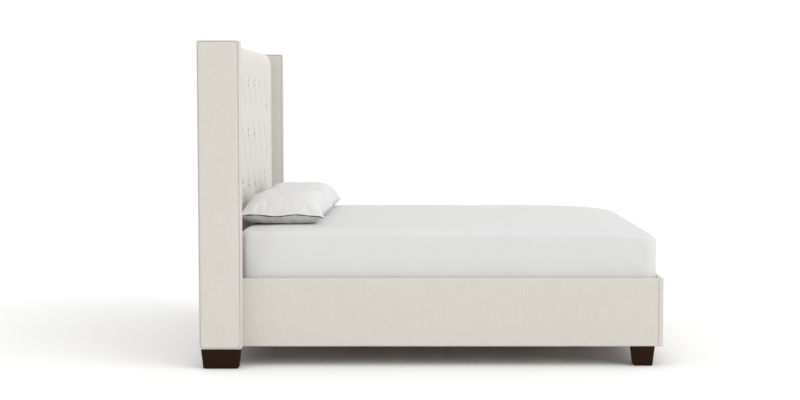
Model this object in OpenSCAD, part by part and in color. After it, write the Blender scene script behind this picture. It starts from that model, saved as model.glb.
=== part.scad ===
// Wingback platform bed: a diamond-tufted headboard between two upholstered wings,
// upholstered rails and a low footboard on timber block legs, with slats, a mattress
// in its fitted sheet and two pillows. Millimetres.
// X runs from the head (-) to the foot (+), Y across the bed (left is +), Z is up.
// The origin is on the floor under the middle of the bed.

/* [Mattress and pillows] */
// Length of the mattress in its fitted sheet
mattress_l = 2032; // [1690:1:2450]
// Width of the mattress in its fitted sheet
mattress_w = 1930; // [1600:1:2320]
// Thickness of the mattress in its fitted sheet
mattress_h = 312; // [200:1:380]
// Radius of the mattress's upright corners
mattress_corner_r = 45; // [30:1:120]
// Thickness of the fitted sheet
sheet_t = 2; // [1:0.5:4]
// Size of a filled pillow across the bed
pillow_w = 729; // [500:1:760]
// Size of a filled pillow along the bed
pillow_l = 422; // [350:1:520]
// Height of a filled pillow above the mattress
pillow_h = 151; // [110:1:200]
// Height of a pillow's seam above the mattress
pillow_seam_h = 43; // [30:1:80]

/* [Heights] */
// Top of the headboard and wings above the floor
bed_h = 1570; // [1200:1:1900]
// Underside of the rails, footboard and wings above the floor
floor_gap = 97; // [80:1:160]
// Height of the side rails and the footboard
rail_h = 331; // [270:1:400]
// Top of the slats above the floor
platform_z = 357; // [297:1:430]

/* [Headboard] */
// Thickness of the cloth-covered panel on the back
back_cover_t = 4; // [3:0.5:8]
// Thickness of the timber frame, along the bed
frame_t = 40; // [30:1:60]
// Width of each timber of the frame
frame_timber_w = 60; // [40:1:90]
// Thickness of the plywood board on the frame
board_t = 12; // [10:1:18]
// Thickness of the tufted pad, at its crowns
tuft_t = 84; // [60:1:110]
// Rounding of the pad's front edges
tuft_edge_r = 45; // [20:1:55]
// Cloth and wadding that wrap over the top of the frame
wrap_t = 6; // [4:1:12]
// Plain gap between the rails' top and the tufted pad
tuft_over_rail = 42; // [20:1:80]
// Width of a tufting diamond
diamond_w = 263; // [180:1:320]
// Height of a tufting diamond
diamond_h = 270; // [180:1:340]
// Drop from the headboard's top to the first row of buttons
first_row_drop = 187; // [120:1:230]
// Diameter of a cloth-covered button
button_d = 24; // [18:1:32]
// Height of a button's dome
button_dome = 10; // [5:1:11]
// Depth of a button's seat in the first, third and fifth rows
shallow_sink = 15; // [12:1:40]
// Depth of a button's seat in the rows between them
deep_sink = 28; // [20:1:50]
// Diameter of the well that a button is drawn into
well_d = 40; // [34:1:60]

/* [Wings] */
// Depth of a wing, along the bed
wing_depth = 200; // [165:1:260]
// Thickness of a wing, across the bed
wing_t = 90; // [75:1:120]
// Wadding and cloth on a wing
wing_pad = 12; // [6:1:16]
// Gap between a rail and the wing beside it
wing_gap = 2; // [1:0.5:6]
// Rungs in a wing's ladder frame
wing_rungs = 7; // [5:1:9]

/* [Rails and footboard] */
// Thickness of a rail's timber
rail_core_t = 26; // [20:1:36]
// Wadding and cloth on a rail
rail_pad = 6; // [3:0.5:10]
// Thickness of the footboard's timber
footboard_core_t = 16; // [14:1:30]
// Wadding and cloth on the footboard
footboard_pad = 4; // [3:0.5:8]
// Gap between the mattress and each side rail
side_gap = 5; // [3:1:20]
// Gap between the mattress and the footboard
foot_gap = 6; // [3:1:20]
// Gap between the mattress and the tufted pad
head_gap = 33; // [10:1:60]

/* [Legs] */
// Distance from a wing's faces in to the head leg's
head_leg_inset = 6; // [0:1:15]
// Length of a foot leg's top, along the bed
foot_leg_l = 110; // [90:1:150]
// Width of a foot leg's top, across the bed
foot_leg_w = 110; // [90:1:130]
// Distance from the footboard's front to the foot leg
foot_leg_inset = 40; // [20:1:80]
// Taper of each side of a leg, from top to bottom
leg_taper = 10; // [0:1:20]
// Thickness of the glides under the legs
glide_t = 3; // [2:1:6]
// Diameter of a glide
glide_d = 36; // [20:1:50]
// Distance from a leg's foot edge in to its glide
glide_inset = 5; // [2:1:12]

/* [Slats and centre support] */
// Number of slats
slat_count = 12; // [9:1:12]
// Width of a slat, along the bed
slat_w = 90; // [60:1:110]
// Thickness of a slat
slat_t = 20; // [15:1:25]
// Width of the ledger strip that the slats lie on
ledger_w = 40; // [30:1:60]
// Height of the ledger strip
ledger_h = 45; // [30:1:60]
// Width of the centre beam
beam_w = 60; // [40:1:80]
// Height of the centre beam
beam_h = 70; // [50:1:90]
// Diameter of a centre leg at its top
centre_leg_d = 50; // [40:1:60]
// Upward travel of a levelling foot
level_travel = 12; // [5:1:14]

/* [Hidden] */
$fn = 48;
cut = 1;                 // how far a cut runs past a face
centre_leg_count = 3;
sides = [-1, 1];

// planes across the bed, as distances from its centre line
rail_in = mattress_w / 2 + side_gap;
rail_out = rail_in + rail_core_t + 2 * rail_pad;
rail_mid_y = (rail_in + rail_out) / 2;
wing_in = rail_out + wing_gap;
wing_out = wing_in + wing_t;

// planes along the bed
panel_t = back_cover_t + frame_t + board_t + tuft_t;
footboard_t = footboard_core_t + 2 * footboard_pad;
bed_l = panel_t + head_gap + mattress_l + foot_gap + footboard_t;
back_x = -bed_l / 2;
foot_x = bed_l / 2;
frame_x = back_x + back_cover_t;
board_x = frame_x + frame_t;
tuft_x = board_x + board_t;
crown_x = tuft_x + tuft_t;
mattress_x = crown_x + head_gap;
footboard_x = foot_x - footboard_t;

// heights
rail_top = floor_gap + rail_h;
ledger_z = platform_z - slat_t;
mattress_top = platform_z + mattress_h;
tuft_z = rail_top + tuft_over_rail;
frame_top = bed_h - wrap_t;

// rail brackets: hooks on the rail drop into slots in the headboard and footboard
plate_t = 4;
hook_plate_t = 3;
plate_w = 20;
plate_h = 140;
hook_t = 4;
hook_neck_h = 14;
hook_lip_drop = 8;
hook_lip_t = 3.5;
hook_z = [-45, 15];       // undersides of the two hooks, from the rail's mid height
hook_play = 0.5;
slot_h = hook_neck_h + hook_lip_drop + 2;
plate_screw_z = [-61, 61];
screw_d = 4;
screw_head_d = 7.5;
screw_head_t = 2;
screw_play = 0.4;         // added to a screw's diameter in its holes
slot_screw_l = 14;
hook_screw_l = 28;
rail_head_x = tuft_x + plate_t;
rail_foot_x = footboard_x;
rail_mid_z = floor_gap + rail_h / 2;

// bolts
bolt_d = 8;
bolt_play = 1;
bolt_head_d = 14;
bolt_head_t = 5;
wing_bolt_l = 74;
wing_bolt_count = 4;
leg_bolt_l = 84;
leg_bolt_down = 40;       // how far a leg bolt goes into the leg

// cleats, corner blocks and the beam's hangers
cleat_t = 30;
cleat_h = 60;
block_l = 130;
block_w = 70;
joint_gap = 0.2;          // hairline between timbers that are not glued
hanger_t = 3;
hanger_l = 45;
hanger_h = 50;
beam_play = 0.5;
beam_x0 = tuft_x + cleat_t + hanger_t;
beam_x1 = footboard_x - cleat_t - hanger_t;

// slats
slat_inset = 10;
slat_end_gap = 2;
slat_screw_l = 42;
slat_pitch = (mattress_l - 2 * slat_inset - slat_w) / (slat_count - 1);
slat_screw_y = rail_in - ledger_w / 2;

// levelling feet
spigot_d = 20;
spigot_h = 30;
centre_leg_foot_d = 38;
centre_leg_z = 30;
pad_d = 38;
pad_t = 9;
stem_d = 8;
stem_ball_d = 10;
stem_ball_z = 4;
stem_hex_d = 15;
stem_hex_z = 10;
stem_hex_t = 5;
stem_top_z = centre_leg_z + 45;
nut_d = 14;
nut_h = 15;
fit_play = 0.5;           // added to the diameter of a turning or sliding fit

// wing ladder frame
ladder_upright = 40;
ladder_rung = 60;

// tufting: rows of buttons alternate between half and whole steps of the diamond, and
// between shallow and deep seats; a point is its place across and up, and its seat's depth
tuft_side_margin = 100;
tuft_bottom_margin = 90;
tuft_reach = wing_in - tuft_side_margin;
tuft_rows = [for (i = 0, z = bed_h - first_row_drop; z >= tuft_z + tuft_bottom_margin;
                  i = i + 1, z = z - diamond_h / 2) [z, (i + 1) % 2 / 2]];
tuft_points = [for (row = tuft_rows)
    let (steps = floor(tuft_reach / diamond_w - row[1]))
    for (k = [-steps - 2 * row[1] : steps])
        [(k + row[1]) * diamond_w, row[0], row[1] == 0 ? deep_sink : shallow_sink]];

cloth = "#dad4ca";
tuft_cloth = "#e4dfd7";
linen = "#e6e6e6";
timber = "#c9a877";
espresso = "#2a1d14";
zinc = "#b9bcc0";
felt = "#3a3a3a";

// ---- helpers ----

// a block between two opposite corners
module block(low, high) { translate(low) cube(high - low); }

// a block given for the left side, mirrored to the right when side is -1
module side_block(side, low, high) { scale_side(side) block(low, high); }

module scale_side(side) { mirror([0, side < 0 ? 1 : 0, 0]) children(); }

// extrudes an X-Z outline across the bed, from y0 to y1
module across(y0, y1) {
    translate([0, y1, 0]) rotate([90, 0, 0]) linear_extrude(y1 - y0) children();
}

// a rectangle with its two far corners along +X rounded
module front_rounded(w, h, r) {
    square([w - r, h]);
    translate([0, r]) square([w, h - 2 * r]);
    intersection() {
        square([w, h]);
        for (y = [r, h - r]) translate([w - r, y]) circle(r);
    }
}

// a rectangle with all four corners rounded, centred
module rounded_rect(size, r) {
    square([size.x, size.y - 2 * r], center = true);
    square([size.x - 2 * r, size.y], center = true);
    for (x = sides, y = sides)
        translate([x * (size.x / 2 - r), y * (size.y / 2 - r)]) circle(r);
}

// a block whose four sides lean in towards its foot, standing on the origin
module tapered_block(top, taper, h) {
    deep = 2 * max(top);
    intersection() {
        rotate([90, 0, 0]) linear_extrude(deep, center = true) taper_outline(top.x, taper, h);
        rotate([90, 0, 90]) linear_extrude(deep, center = true) taper_outline(top.y, taper, h);
    }
}

module taper_outline(w, taper, h) {
    polygon([[-w / 2 + taper, 0], [w / 2 - taper, 0], [w / 2, h], [-w / 2, h]]);
}

// a screw along +X with its head's face at the origin
module screw_x(l, play = 0) {
    rotate([0, 90, 0]) {
        cylinder(d = screw_d + play, h = l + play);
        cylinder(d = screw_head_d + play, h = screw_head_t + play / 2);
    }
}

// puts its children at the four ends of the rails; local +X points out of the rail
module at_rail_ends() {
    for (side = sides) {
        translate([rail_head_x, side * rail_mid_y, rail_mid_z]) mirror([1, 0, 0]) children();
        translate([rail_foot_x, side * rail_mid_y, rail_mid_z]) children();
    }
}

// puts its children at both ends of the centre beam; local +X points out of the beam
module at_beam_ends() {
    translate([beam_x0, 0, ledger_z - beam_h]) mirror([1, 0, 0]) children();
    translate([beam_x1, 0, ledger_z - beam_h]) children();
}

function centre_leg_x(i) = beam_x0 + (beam_x1 - beam_x0) * i / (centre_leg_count + 1);
function slat_x(i) = mattress_x + slat_inset + (i - 1) * slat_pitch;
function wing_bolt_z(i) = floor_gap + (bed_h - floor_gap) * (i - 0.5) / wing_bolt_count;

head_leg_l = wing_depth - 2 * head_leg_inset;
head_leg_x = back_x + wing_depth / 2;
head_leg_y = wing_in + wing_t / 2;
foot_leg_x = foot_x - foot_leg_inset - foot_leg_l / 2;
foot_leg_y = rail_out - foot_leg_w / 2;
foot_bolt_y = rail_in - block_w / 2;
leg_bolt_spread = 30;
leg_h = floor_gap - glide_t;
glide_reach = leg_taper + glide_inset + glide_d / 2;

// ---- headboard ----

module wing_bolt_holes() {
    for (side = sides, i = [1 : wing_bolt_count])
        translate([frame_x + frame_t / 2, side * wing_in, wing_bolt_z(i)])
            rotate([90, 0, 0])
                cylinder(d = bolt_d + bolt_play, h = 2 * wing_bolt_l, center = true);
}

// stiles run the full height; cross timbers fit between them
module headboard_frame() {
    half = frame_timber_w / 2;
    mid_z = (floor_gap + frame_top) / 2;
    color(timber) difference() {
        union() {
            for (side = sides)
                side_block(side, [frame_x, wing_in - frame_timber_w, floor_gap],
                           [board_x, wing_in, frame_top]);
            block([frame_x, -half, floor_gap], [board_x, half, frame_top]);
            for (side = sides, z = [floor_gap, mid_z - half, frame_top - frame_timber_w])
                side_block(side, [frame_x, half + joint_gap, z],
                           [board_x, wing_in - frame_timber_w - joint_gap, z + frame_timber_w]);
        }
        wing_bolt_holes();
    }
}

module headboard_board() {
    color(timber) difference() {
        block([board_x, -wing_in, floor_gap], [tuft_x, wing_in, frame_top]);
        at_rail_ends() bracket_pockets();
    }
}

// foam and cloth: a rounded slab with a well at each button, wrapped over the frame's top
module headboard_tufting() {
    color(tuft_cloth) difference() {
        across(-wing_in, wing_in) {
            translate([tuft_x, tuft_z]) front_rounded(tuft_t, bed_h - tuft_z, tuft_edge_r);
            translate([frame_x, frame_top]) square([frame_t + board_t + cut, wrap_t]);
        }
        for (p = tuft_points)
            translate([crown_x - p.z, p.x, p.y])
                rotate([0, 90, 0]) cylinder(d = well_d, h = p.z + cut);
    }
}

// each button is the cap of a ball
module tuft_buttons() {
    ball_r = (pow(button_d / 2, 2) + pow(button_dome, 2)) / (2 * button_dome);
    color(tuft_cloth)
        for (p = tuft_points)
            translate([crown_x - p.z, p.x, p.y])
                rotate([0, 90, 0])
                    intersection() {
                        translate([0, 0, button_dome - ball_r]) sphere(ball_r);
                        cylinder(d = 2 * button_d, h = button_dome + cut);
                    }
}

module headboard_back_cover() {
    color(cloth) block([back_x, -wing_in, floor_gap], [frame_x, wing_in, bed_h]);
}

// ---- wings ----

// two uprights joined by rungs, cut as windows from one slab
module wing_core(side) {
    x0 = back_x + wing_pad;
    x1 = back_x + wing_depth - wing_pad;
    y0 = wing_in + wing_pad;
    y1 = wing_out - wing_pad;
    top = bed_h - wing_pad;
    step = (top - floor_gap - ladder_rung) / (wing_rungs - 1);
    color(timber) difference() {
        side_block(side, [x0, y0, floor_gap], [x1, y1, top]);
        for (i = [0 : wing_rungs - 2])
            side_block(side, [x0 + ladder_upright, y0 - cut, floor_gap + i * step + ladder_rung],
                       [x1 - ladder_upright, y1 + cut, floor_gap + (i + 1) * step]);
        wing_bolt_holes();
        head_leg_bolts(bolt_play);
    }
}

// closed on five sides and open underneath, where the leg is bolted to the frame
module wing_cover(side) {
    color(cloth) difference() {
        scale_side(side) across(wing_in, wing_out)
            translate([back_x, floor_gap]) wing_outline();
        side_block(side, [back_x + wing_pad, wing_in + wing_pad, floor_gap - cut],
                   [back_x + wing_depth - wing_pad, wing_out - wing_pad, bed_h - wing_pad]);
        wing_bolt_holes();
    }
}

// square below, with softened top corners
module wing_outline() {
    h = bed_h - floor_gap;
    r = wing_pad / 2;         // half the wadding's thickness
    square([wing_depth, h - r]);
    translate([r, 0]) square([wing_depth - 2 * r, h]);
    for (x = [r, wing_depth - r]) translate([x, h - r]) circle(r);
}

// from inside the frame's stile, through the wing's cover and into its rear upright
module wing_bolts() {
    color(zinc)
        for (side = sides, i = [1 : wing_bolt_count])
            scale_side(side)
                translate([frame_x + frame_t / 2, wing_in - frame_timber_w, wing_bolt_z(i)])
                    rotate([-90, 0, 0]) {
                        cylinder(d = bolt_d, h = frame_timber_w + wing_bolt_l);
                        translate([0, 0, -bolt_head_t]) cylinder(d = bolt_head_d, h = bolt_head_t);
                    }
}

// ---- legs ----

module leg_bolt(play) {
    translate([0, 0, floor_gap - leg_bolt_down - play])
        cylinder(d = bolt_d + play, h = leg_bolt_l + 2 * play);
}

module head_leg_bolts(play = 0) {
    for (side = sides, dx = [-leg_bolt_spread, leg_bolt_spread])
        translate([head_leg_x + dx, side * head_leg_y, 0]) leg_bolt(play);
}

module foot_leg_bolts(play = 0) {
    for (side = sides, dx = [-leg_bolt_spread, leg_bolt_spread])
        translate([foot_leg_x + dx, side * foot_bolt_y, 0]) leg_bolt(play);
}

module head_leg(side) {
    color(espresso) difference() {
        translate([head_leg_x, side * head_leg_y, glide_t])
            tapered_block([head_leg_l, wing_t - 2 * head_leg_inset], leg_taper, leg_h);
        head_leg_bolts(bolt_play);
    }
}

module foot_leg(side) {
    color(espresso) difference() {
        translate([foot_leg_x, side * foot_leg_y, glide_t])
            tapered_block([foot_leg_l, foot_leg_w], leg_taper, leg_h);
        foot_leg_bolts(bolt_play);
    }
}

module leg_bolts() {
    color(zinc) {
        head_leg_bolts();
        foot_leg_bolts();
    }
}

module leg_glides() {
    color(felt)
        for (side = sides, end = sides) {
            translate([head_leg_x + end * (head_leg_l / 2 - glide_reach), side * head_leg_y, 0])
                cylinder(d = glide_d, h = glide_t);
            translate([foot_leg_x + end * (foot_leg_l / 2 - glide_reach), side * foot_leg_y, 0])
                cylinder(d = glide_d, h = glide_t);
        }
}

// ---- rail brackets ----

// steel plate screwed to the headboard or footboard, with two slots
module slot_plate() {
    difference() {
        block([0, -plate_w / 2, -plate_h / 2], [plate_t, plate_w / 2, plate_h / 2]);
        for (z = hook_z)
            block([-cut, -hook_t / 2 - hook_play, z - hook_play],
                  [plate_t + cut, hook_t / 2 + hook_play, z + slot_h]);
        for (z = plate_screw_z) translate([0, 0, z]) screw_x(slot_screw_l, screw_play);
    }
}

// steel plate on the rail's end, whose hooks pass the slots and hang behind them
module hook_plate() {
    difference() {
        union() {
            block([-hook_plate_t, -plate_w / 2, -plate_h / 2], [0, plate_w / 2, plate_h / 2]);
            for (z = hook_z) {
                block([-cut, -hook_t / 2, z],
                      [plate_t + hook_play + hook_lip_t, hook_t / 2, z + hook_neck_h]);
                block([plate_t + hook_play, -hook_t / 2, z - hook_lip_drop],
                      [plate_t + hook_play + hook_lip_t, hook_t / 2, z + hook_neck_h]);
            }
        }
        for (z = plate_screw_z)
            translate([0, 0, z]) mirror([1, 0, 0]) screw_x(hook_screw_l, screw_play);
    }
}

// room behind a slot plate for its hooks, and the holes for its screws
module bracket_pockets() {
    for (z = hook_z)
        block([-cut, -hook_t / 2 - hook_play, z - hook_lip_drop - hook_play],
              [plate_t + hook_play + hook_lip_t + hook_play, hook_t / 2 + hook_play, z + slot_h]);
    for (z = plate_screw_z) translate([0, 0, z]) screw_x(slot_screw_l, screw_play);
}

module rail_slot_plates() { color(zinc) at_rail_ends() slot_plate(); }

module rail_hook_plates() { color(zinc) at_rail_ends() hook_plate(); }

module bracket_screws() {
    color(zinc) at_rail_ends()
        for (z = plate_screw_z) translate([0, 0, z]) {
            screw_x(slot_screw_l);
            translate([-screw_play / 2, 0, 0]) mirror([1, 0, 0]) screw_x(hook_screw_l);
        }
}

// ---- rails and footboard ----

module rail_core(side) {
    color(timber) difference() {
        side_block(side,
                   [rail_head_x + hook_plate_t, rail_in + rail_pad, floor_gap + rail_pad],
                   [rail_foot_x - hook_plate_t, rail_out - rail_pad, rail_top - rail_pad]);
        at_rail_ends() for (z = plate_screw_z)
            translate([0, 0, z]) mirror([1, 0, 0]) screw_x(hook_screw_l, screw_play);
    }
}

// a sleeve of wadding and cloth, open at its two ends
module rail_cover(side) {
    color(cloth) difference() {
        side_block(side, [rail_head_x, rail_in, floor_gap], [rail_foot_x, rail_out, rail_top]);
        side_block(side, [rail_head_x - cut, rail_in + rail_pad, floor_gap + rail_pad],
                   [rail_foot_x + cut, rail_out - rail_pad, rail_top - rail_pad]);
    }
}

module rail_ledger(side) {
    color(timber) difference() {
        side_block(side, [rail_head_x, rail_in - ledger_w, ledger_z - ledger_h],
                   [footboard_x - block_l, rail_in, ledger_z]);
        slat_screw_holes();
    }
}

module footboard_core() {
    color(timber) difference() {
        block([footboard_x + footboard_pad, -rail_out + footboard_pad, floor_gap],
              [foot_x - footboard_pad, rail_out - footboard_pad, rail_top - footboard_pad]);
        footboard_recesses();
    }
}

// open underneath, and cut away where the slot plates sit
module footboard_cover() {
    color(cloth) difference() {
        block([footboard_x, -rail_out, floor_gap], [foot_x, rail_out, rail_top]);
        block([footboard_x + footboard_pad, -rail_out + footboard_pad, floor_gap - cut],
              [foot_x - footboard_pad, rail_out - footboard_pad, rail_top - footboard_pad]);
        footboard_recesses();
    }
}

module footboard_recesses() {
    for (side = sides)
        translate([rail_foot_x, side * rail_mid_y, rail_mid_z]) {
            block([-cut, -plate_w / 2, -plate_h / 2], [plate_t, plate_w / 2, plate_h / 2]);
            bracket_pockets();
        }
}

// ties the rail, the footboard and the foot leg together
module corner_block(side) {
    color(timber) difference() {
        side_block(side, [footboard_x - block_l + joint_gap, rail_in - block_w, floor_gap],
                   [footboard_x, rail_in, ledger_z]);
        foot_leg_bolts(bolt_play);
        slat_screw_holes();
    }
}

module headboard_cleat() {
    y = rail_in - ledger_w - joint_gap;
    color(timber) block([tuft_x, -y, ledger_z - cleat_h], [tuft_x + cleat_t, y, ledger_z]);
}

module footboard_cleat() {
    y = rail_in - block_w - joint_gap;
    color(timber)
        block([footboard_x - cleat_t, -y, ledger_z - cleat_h], [footboard_x, y, ledger_z]);
}

// ---- slats and centre support ----

module slat_screw(play = 0) {
    translate([0, 0, platform_z]) rotate([0, 90, 0]) screw_x(slat_screw_l, play);
}

module slat_screw_holes() {
    for (side = sides, i = [1 : slat_count])
        translate([slat_x(i) + slat_w / 2, side * slat_screw_y, 0]) slat_screw(screw_play);
}

module slat(i) {
    reach = rail_in - slat_end_gap;
    color(timber) difference() {
        block([slat_x(i), -reach, ledger_z], [slat_x(i) + slat_w, reach, platform_z]);
        for (side = sides)
            translate([slat_x(i) + slat_w / 2, side * slat_screw_y, 0]) slat_screw(screw_play);
    }
}

module slat_screws() {
    color(zinc)
        for (side = sides, i = [1 : slat_count])
            translate([slat_x(i) + slat_w / 2, side * slat_screw_y, -screw_play / 2]) slat_screw();
}

module centre_beam() {
    color(timber) difference() {
        block([beam_x0, -beam_w / 2, ledger_z - beam_h], [beam_x1, beam_w / 2, ledger_z]);
        for (i = [1 : centre_leg_count])
            translate([centre_leg_x(i), 0, ledger_z - beam_h - cut])
                cylinder(d = spigot_d + fit_play, h = spigot_h + cut + fit_play);
    }
}

// a stirrup at each end of the beam, open at its top
module beam_hangers() {
    half = beam_w / 2 + beam_play;
    color(zinc) at_beam_ends() difference() {
        block([-hanger_l, -half - hanger_t, -hanger_t], [hanger_t, half + hanger_t, hanger_h]);
        block([-hanger_l - cut, -half, 0], [0, half, hanger_h + cut]);
    }
}

// turned from one piece of timber, with a spigot in the beam and a stepped bore for its foot
module centre_leg(i) {
    top = ledger_z - beam_h;
    color(espresso) translate([centre_leg_x(i), 0, 0]) difference() {
        union() {
            translate([0, 0, centre_leg_z])
                cylinder(d1 = centre_leg_foot_d, d2 = centre_leg_d, h = top - centre_leg_z);
            translate([0, 0, top - cut]) cylinder(d = spigot_d, h = spigot_h + cut);
        }
        translate([0, 0, centre_leg_z - cut])
            cylinder(d = nut_d + fit_play, h = nut_h + cut + fit_play);
        cylinder(d = stem_d + 2 * fit_play, h = stem_top_z + level_travel + fit_play);
    }
}

module insert_nuts() {
    color(zinc)
        for (i = [1 : centre_leg_count])
            translate([centre_leg_x(i), 0, centre_leg_z]) difference() {
                cylinder(d = nut_d, h = nut_h);
                translate([0, 0, -cut]) cylinder(d = stem_d + fit_play, h = nut_h + 2 * cut);
            }
}

// a threaded stem with a hexagon to turn it by and a round end held in the pad
module levelling_stem(i) {
    color(zinc) translate([centre_leg_x(i), 0, 0]) {
        translate([0, 0, stem_ball_z + fit_play])
            cylinder(d = stem_ball_d, h = pad_t - stem_ball_z - fit_play);
        translate([0, 0, pad_t - cut]) cylinder(d = stem_d, h = stem_top_z - pad_t + cut);
        translate([0, 0, stem_hex_z]) cylinder(d = stem_hex_d, h = stem_hex_t, $fn = 6);
    }
}

module levelling_pad(i) {
    color(felt) translate([centre_leg_x(i), 0, 0]) difference() {
        cylinder(d = pad_d, h = pad_t);
        translate([0, 0, stem_ball_z]) cylinder(d = stem_ball_d + fit_play, h = pad_t);
    }
}

// ---- mattress and pillows ----

module mattress_prism(inset, z0, z1) {
    translate([mattress_x + mattress_l / 2, 0, z0]) linear_extrude(z1 - z0)
        rounded_rect([mattress_l - 2 * inset, mattress_w - 2 * inset], mattress_corner_r - inset);
}

module mattress() {
    color(linen) mattress_prism(sheet_t, platform_z, mattress_top - sheet_t);
}

// covers the top and the sides
module fitted_sheet() {
    color(linen) difference() {
        mattress_prism(0, platform_z + sheet_t, mattress_top);
        mattress_prism(sheet_t, platform_z, mattress_top - sheet_t);
    }
}

// a filled pillow, flat where it lies on the mattress
module pillow(side) {
    back_gap = 10;
    middle_gap = 5;
    corner_r = 16;
    fullness = [0.34, 0.38];
    x = crown_x + back_gap + pillow_l / 2;
    y = side * (middle_gap + pillow_w / 2);
    rise = pillow_h - pillow_seam_h;
    color(linen) translate([x, y, mattress_top]) intersection() {
        hull() {
            for (i = sides, j = sides)
                translate([i * (pillow_l / 2 - corner_r), j * (pillow_w / 2 - corner_r),
                           pillow_seam_h]) sphere(corner_r, $fn = 24);
            translate([0, 0, pillow_seam_h])
                scale([fullness.x * pillow_l / rise, fullness.y * pillow_w / rise, 1])
                    sphere(rise, $fn = 32);
        }
        block([-pillow_l, -pillow_w, 0], [pillow_l, pillow_w, 2 * pillow_h]);
    }
}

// ---- what is drawn ----

headboard_frame();
headboard_board();
headboard_tufting();
tuft_buttons();
headboard_back_cover();
wing_core(1);  // left_wing_core
wing_core(-1);  // right_wing_core
wing_cover(1);  // left_wing_cover
wing_cover(-1);  // right_wing_cover
wing_bolts();
head_leg(1);  // left_head_leg
head_leg(-1);  // right_head_leg
foot_leg(1);  // left_foot_leg
foot_leg(-1);  // right_foot_leg
leg_bolts();
leg_glides();
rail_core(1);  // left_rail_core
rail_core(-1);  // right_rail_core
rail_cover(1);  // left_rail_cover
rail_cover(-1);  // right_rail_cover
rail_ledger(1);  // left_rail_ledger
rail_ledger(-1);  // right_rail_ledger
footboard_core();
footboard_cover();
corner_block(1);  // left_corner_block
corner_block(-1);  // right_corner_block
headboard_cleat();
footboard_cleat();
rail_hook_plates();
rail_slot_plates();
bracket_screws();
slat_screws();
centre_beam();
beam_hangers();
insert_nuts();
mattress();
fitted_sheet();
pillow(1);  // left_pillow
pillow(-1);  // right_pillow
for (i = [1 : slat_count])
    slat(i);
for (i = [1 : centre_leg_count]) {
    centre_leg(i);
    levelling_stem(i);
    levelling_pad(i);
}
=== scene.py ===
"""Looks of an upholstered wingback bed with a diamond-tufted headboard.

X runs from the head (-) to the foot (+), Y across the bed (left is +), Z is up. Metres.
"""

import logging
import math
from collections.abc import Callable, Iterator, Sequence
from contextlib import contextmanager
from dataclasses import dataclass
from enum import Enum

import bmesh
import bpy
import numpy as np
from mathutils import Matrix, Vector


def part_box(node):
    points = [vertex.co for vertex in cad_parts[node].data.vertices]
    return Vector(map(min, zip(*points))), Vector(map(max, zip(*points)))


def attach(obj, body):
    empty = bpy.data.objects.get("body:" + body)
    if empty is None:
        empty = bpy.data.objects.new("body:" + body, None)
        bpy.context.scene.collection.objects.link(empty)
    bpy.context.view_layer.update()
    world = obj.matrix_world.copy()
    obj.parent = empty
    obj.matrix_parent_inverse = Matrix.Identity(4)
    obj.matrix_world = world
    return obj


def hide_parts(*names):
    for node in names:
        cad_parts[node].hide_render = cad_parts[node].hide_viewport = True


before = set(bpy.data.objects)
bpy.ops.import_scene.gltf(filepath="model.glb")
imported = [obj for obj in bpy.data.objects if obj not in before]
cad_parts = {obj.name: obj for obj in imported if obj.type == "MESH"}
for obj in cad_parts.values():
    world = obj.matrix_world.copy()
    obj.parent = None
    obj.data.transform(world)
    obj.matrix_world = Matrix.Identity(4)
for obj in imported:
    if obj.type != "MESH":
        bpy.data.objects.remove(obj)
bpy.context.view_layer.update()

SIDES = {"left": 1, "right": -1}
# Steps of the cloth solver in a frame, and the mass of each of its points in kg
CLOTH_STEPS = 7
CLOTH_MASS = 0.25
# A cosine above which a face or an edge counts as lying along an axis
ALONG_AXIS = 0.9
# Points closer than this are one
WELD = 1e-5
log = logging.getLogger("bed")

Pair = tuple[Vector, Vector]


# ---- the bench: selecting, cutting and finishing meshes ----


class Axis(Enum):
    """A direction of the bed's frame."""

    X = 0
    Y = 1
    Z = 2

    @property
    def vector(self) -> Vector:
        """The axis as a unit vector.

        Returns:
            A new vector of length one.
        """
        return Vector([float(self.value == i) for i in range(3)])


def box_of(*nodes: str) -> Pair:
    """The box that holds some CAD nodes.

    Args:
        nodes: Names of CAD nodes.

    Returns:
        The lowest and the highest corner, as new vectors.
    """
    boxes = [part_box(name) for name in nodes]
    low = Vector([min(box[0][i] for box in boxes) for i in range(3)])
    high = Vector([max(box[1][i] for box in boxes) for i in range(3)])
    return low, high


def clear_selection() -> None:
    """Leaves edit mode and deselects everything."""
    if bpy.context.object is not None and bpy.context.object.mode != "OBJECT":
        bpy.ops.object.mode_set(mode="OBJECT")
    bpy.ops.object.select_all(action="DESELECT")


def activate(piece: bpy.types.Object) -> None:
    """Makes a piece the only selected object, and the active one.

    Args:
        piece: The piece.
    """
    clear_selection()
    piece.select_set(True)
    bpy.context.view_layer.objects.active = piece


@contextmanager
def editing(piece: bpy.types.Object) -> Iterator[None]:
    """Puts a piece in edit mode with everything selected, and leaves it afterwards.

    Args:
        piece: The piece.

    Yields:
        Once, while the piece is in edit mode.
    """
    activate(piece)
    bpy.ops.object.mode_set(mode="EDIT")
    bpy.ops.mesh.select_mode(type="FACE")
    bpy.ops.mesh.select_all(action="SELECT")
    yield
    bpy.ops.object.mode_set(mode="OBJECT")


def pick_faces(piece: bpy.types.Object, test: Callable[[bmesh.types.BMFace], bool]) -> None:
    """Selects, in edit mode, exactly the faces that pass a test.

    Args:
        piece: The piece.
        test: Says whether a face is wanted.
    """
    bpy.ops.mesh.select_mode(type="FACE")
    mesh = bmesh.from_edit_mesh(piece.data)
    for face in mesh.faces:
        face.select_set(False)
    for face in [f for f in mesh.faces if test(f)]:
        face.select_set(True)
    bmesh.update_edit_mesh(piece.data)


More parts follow.
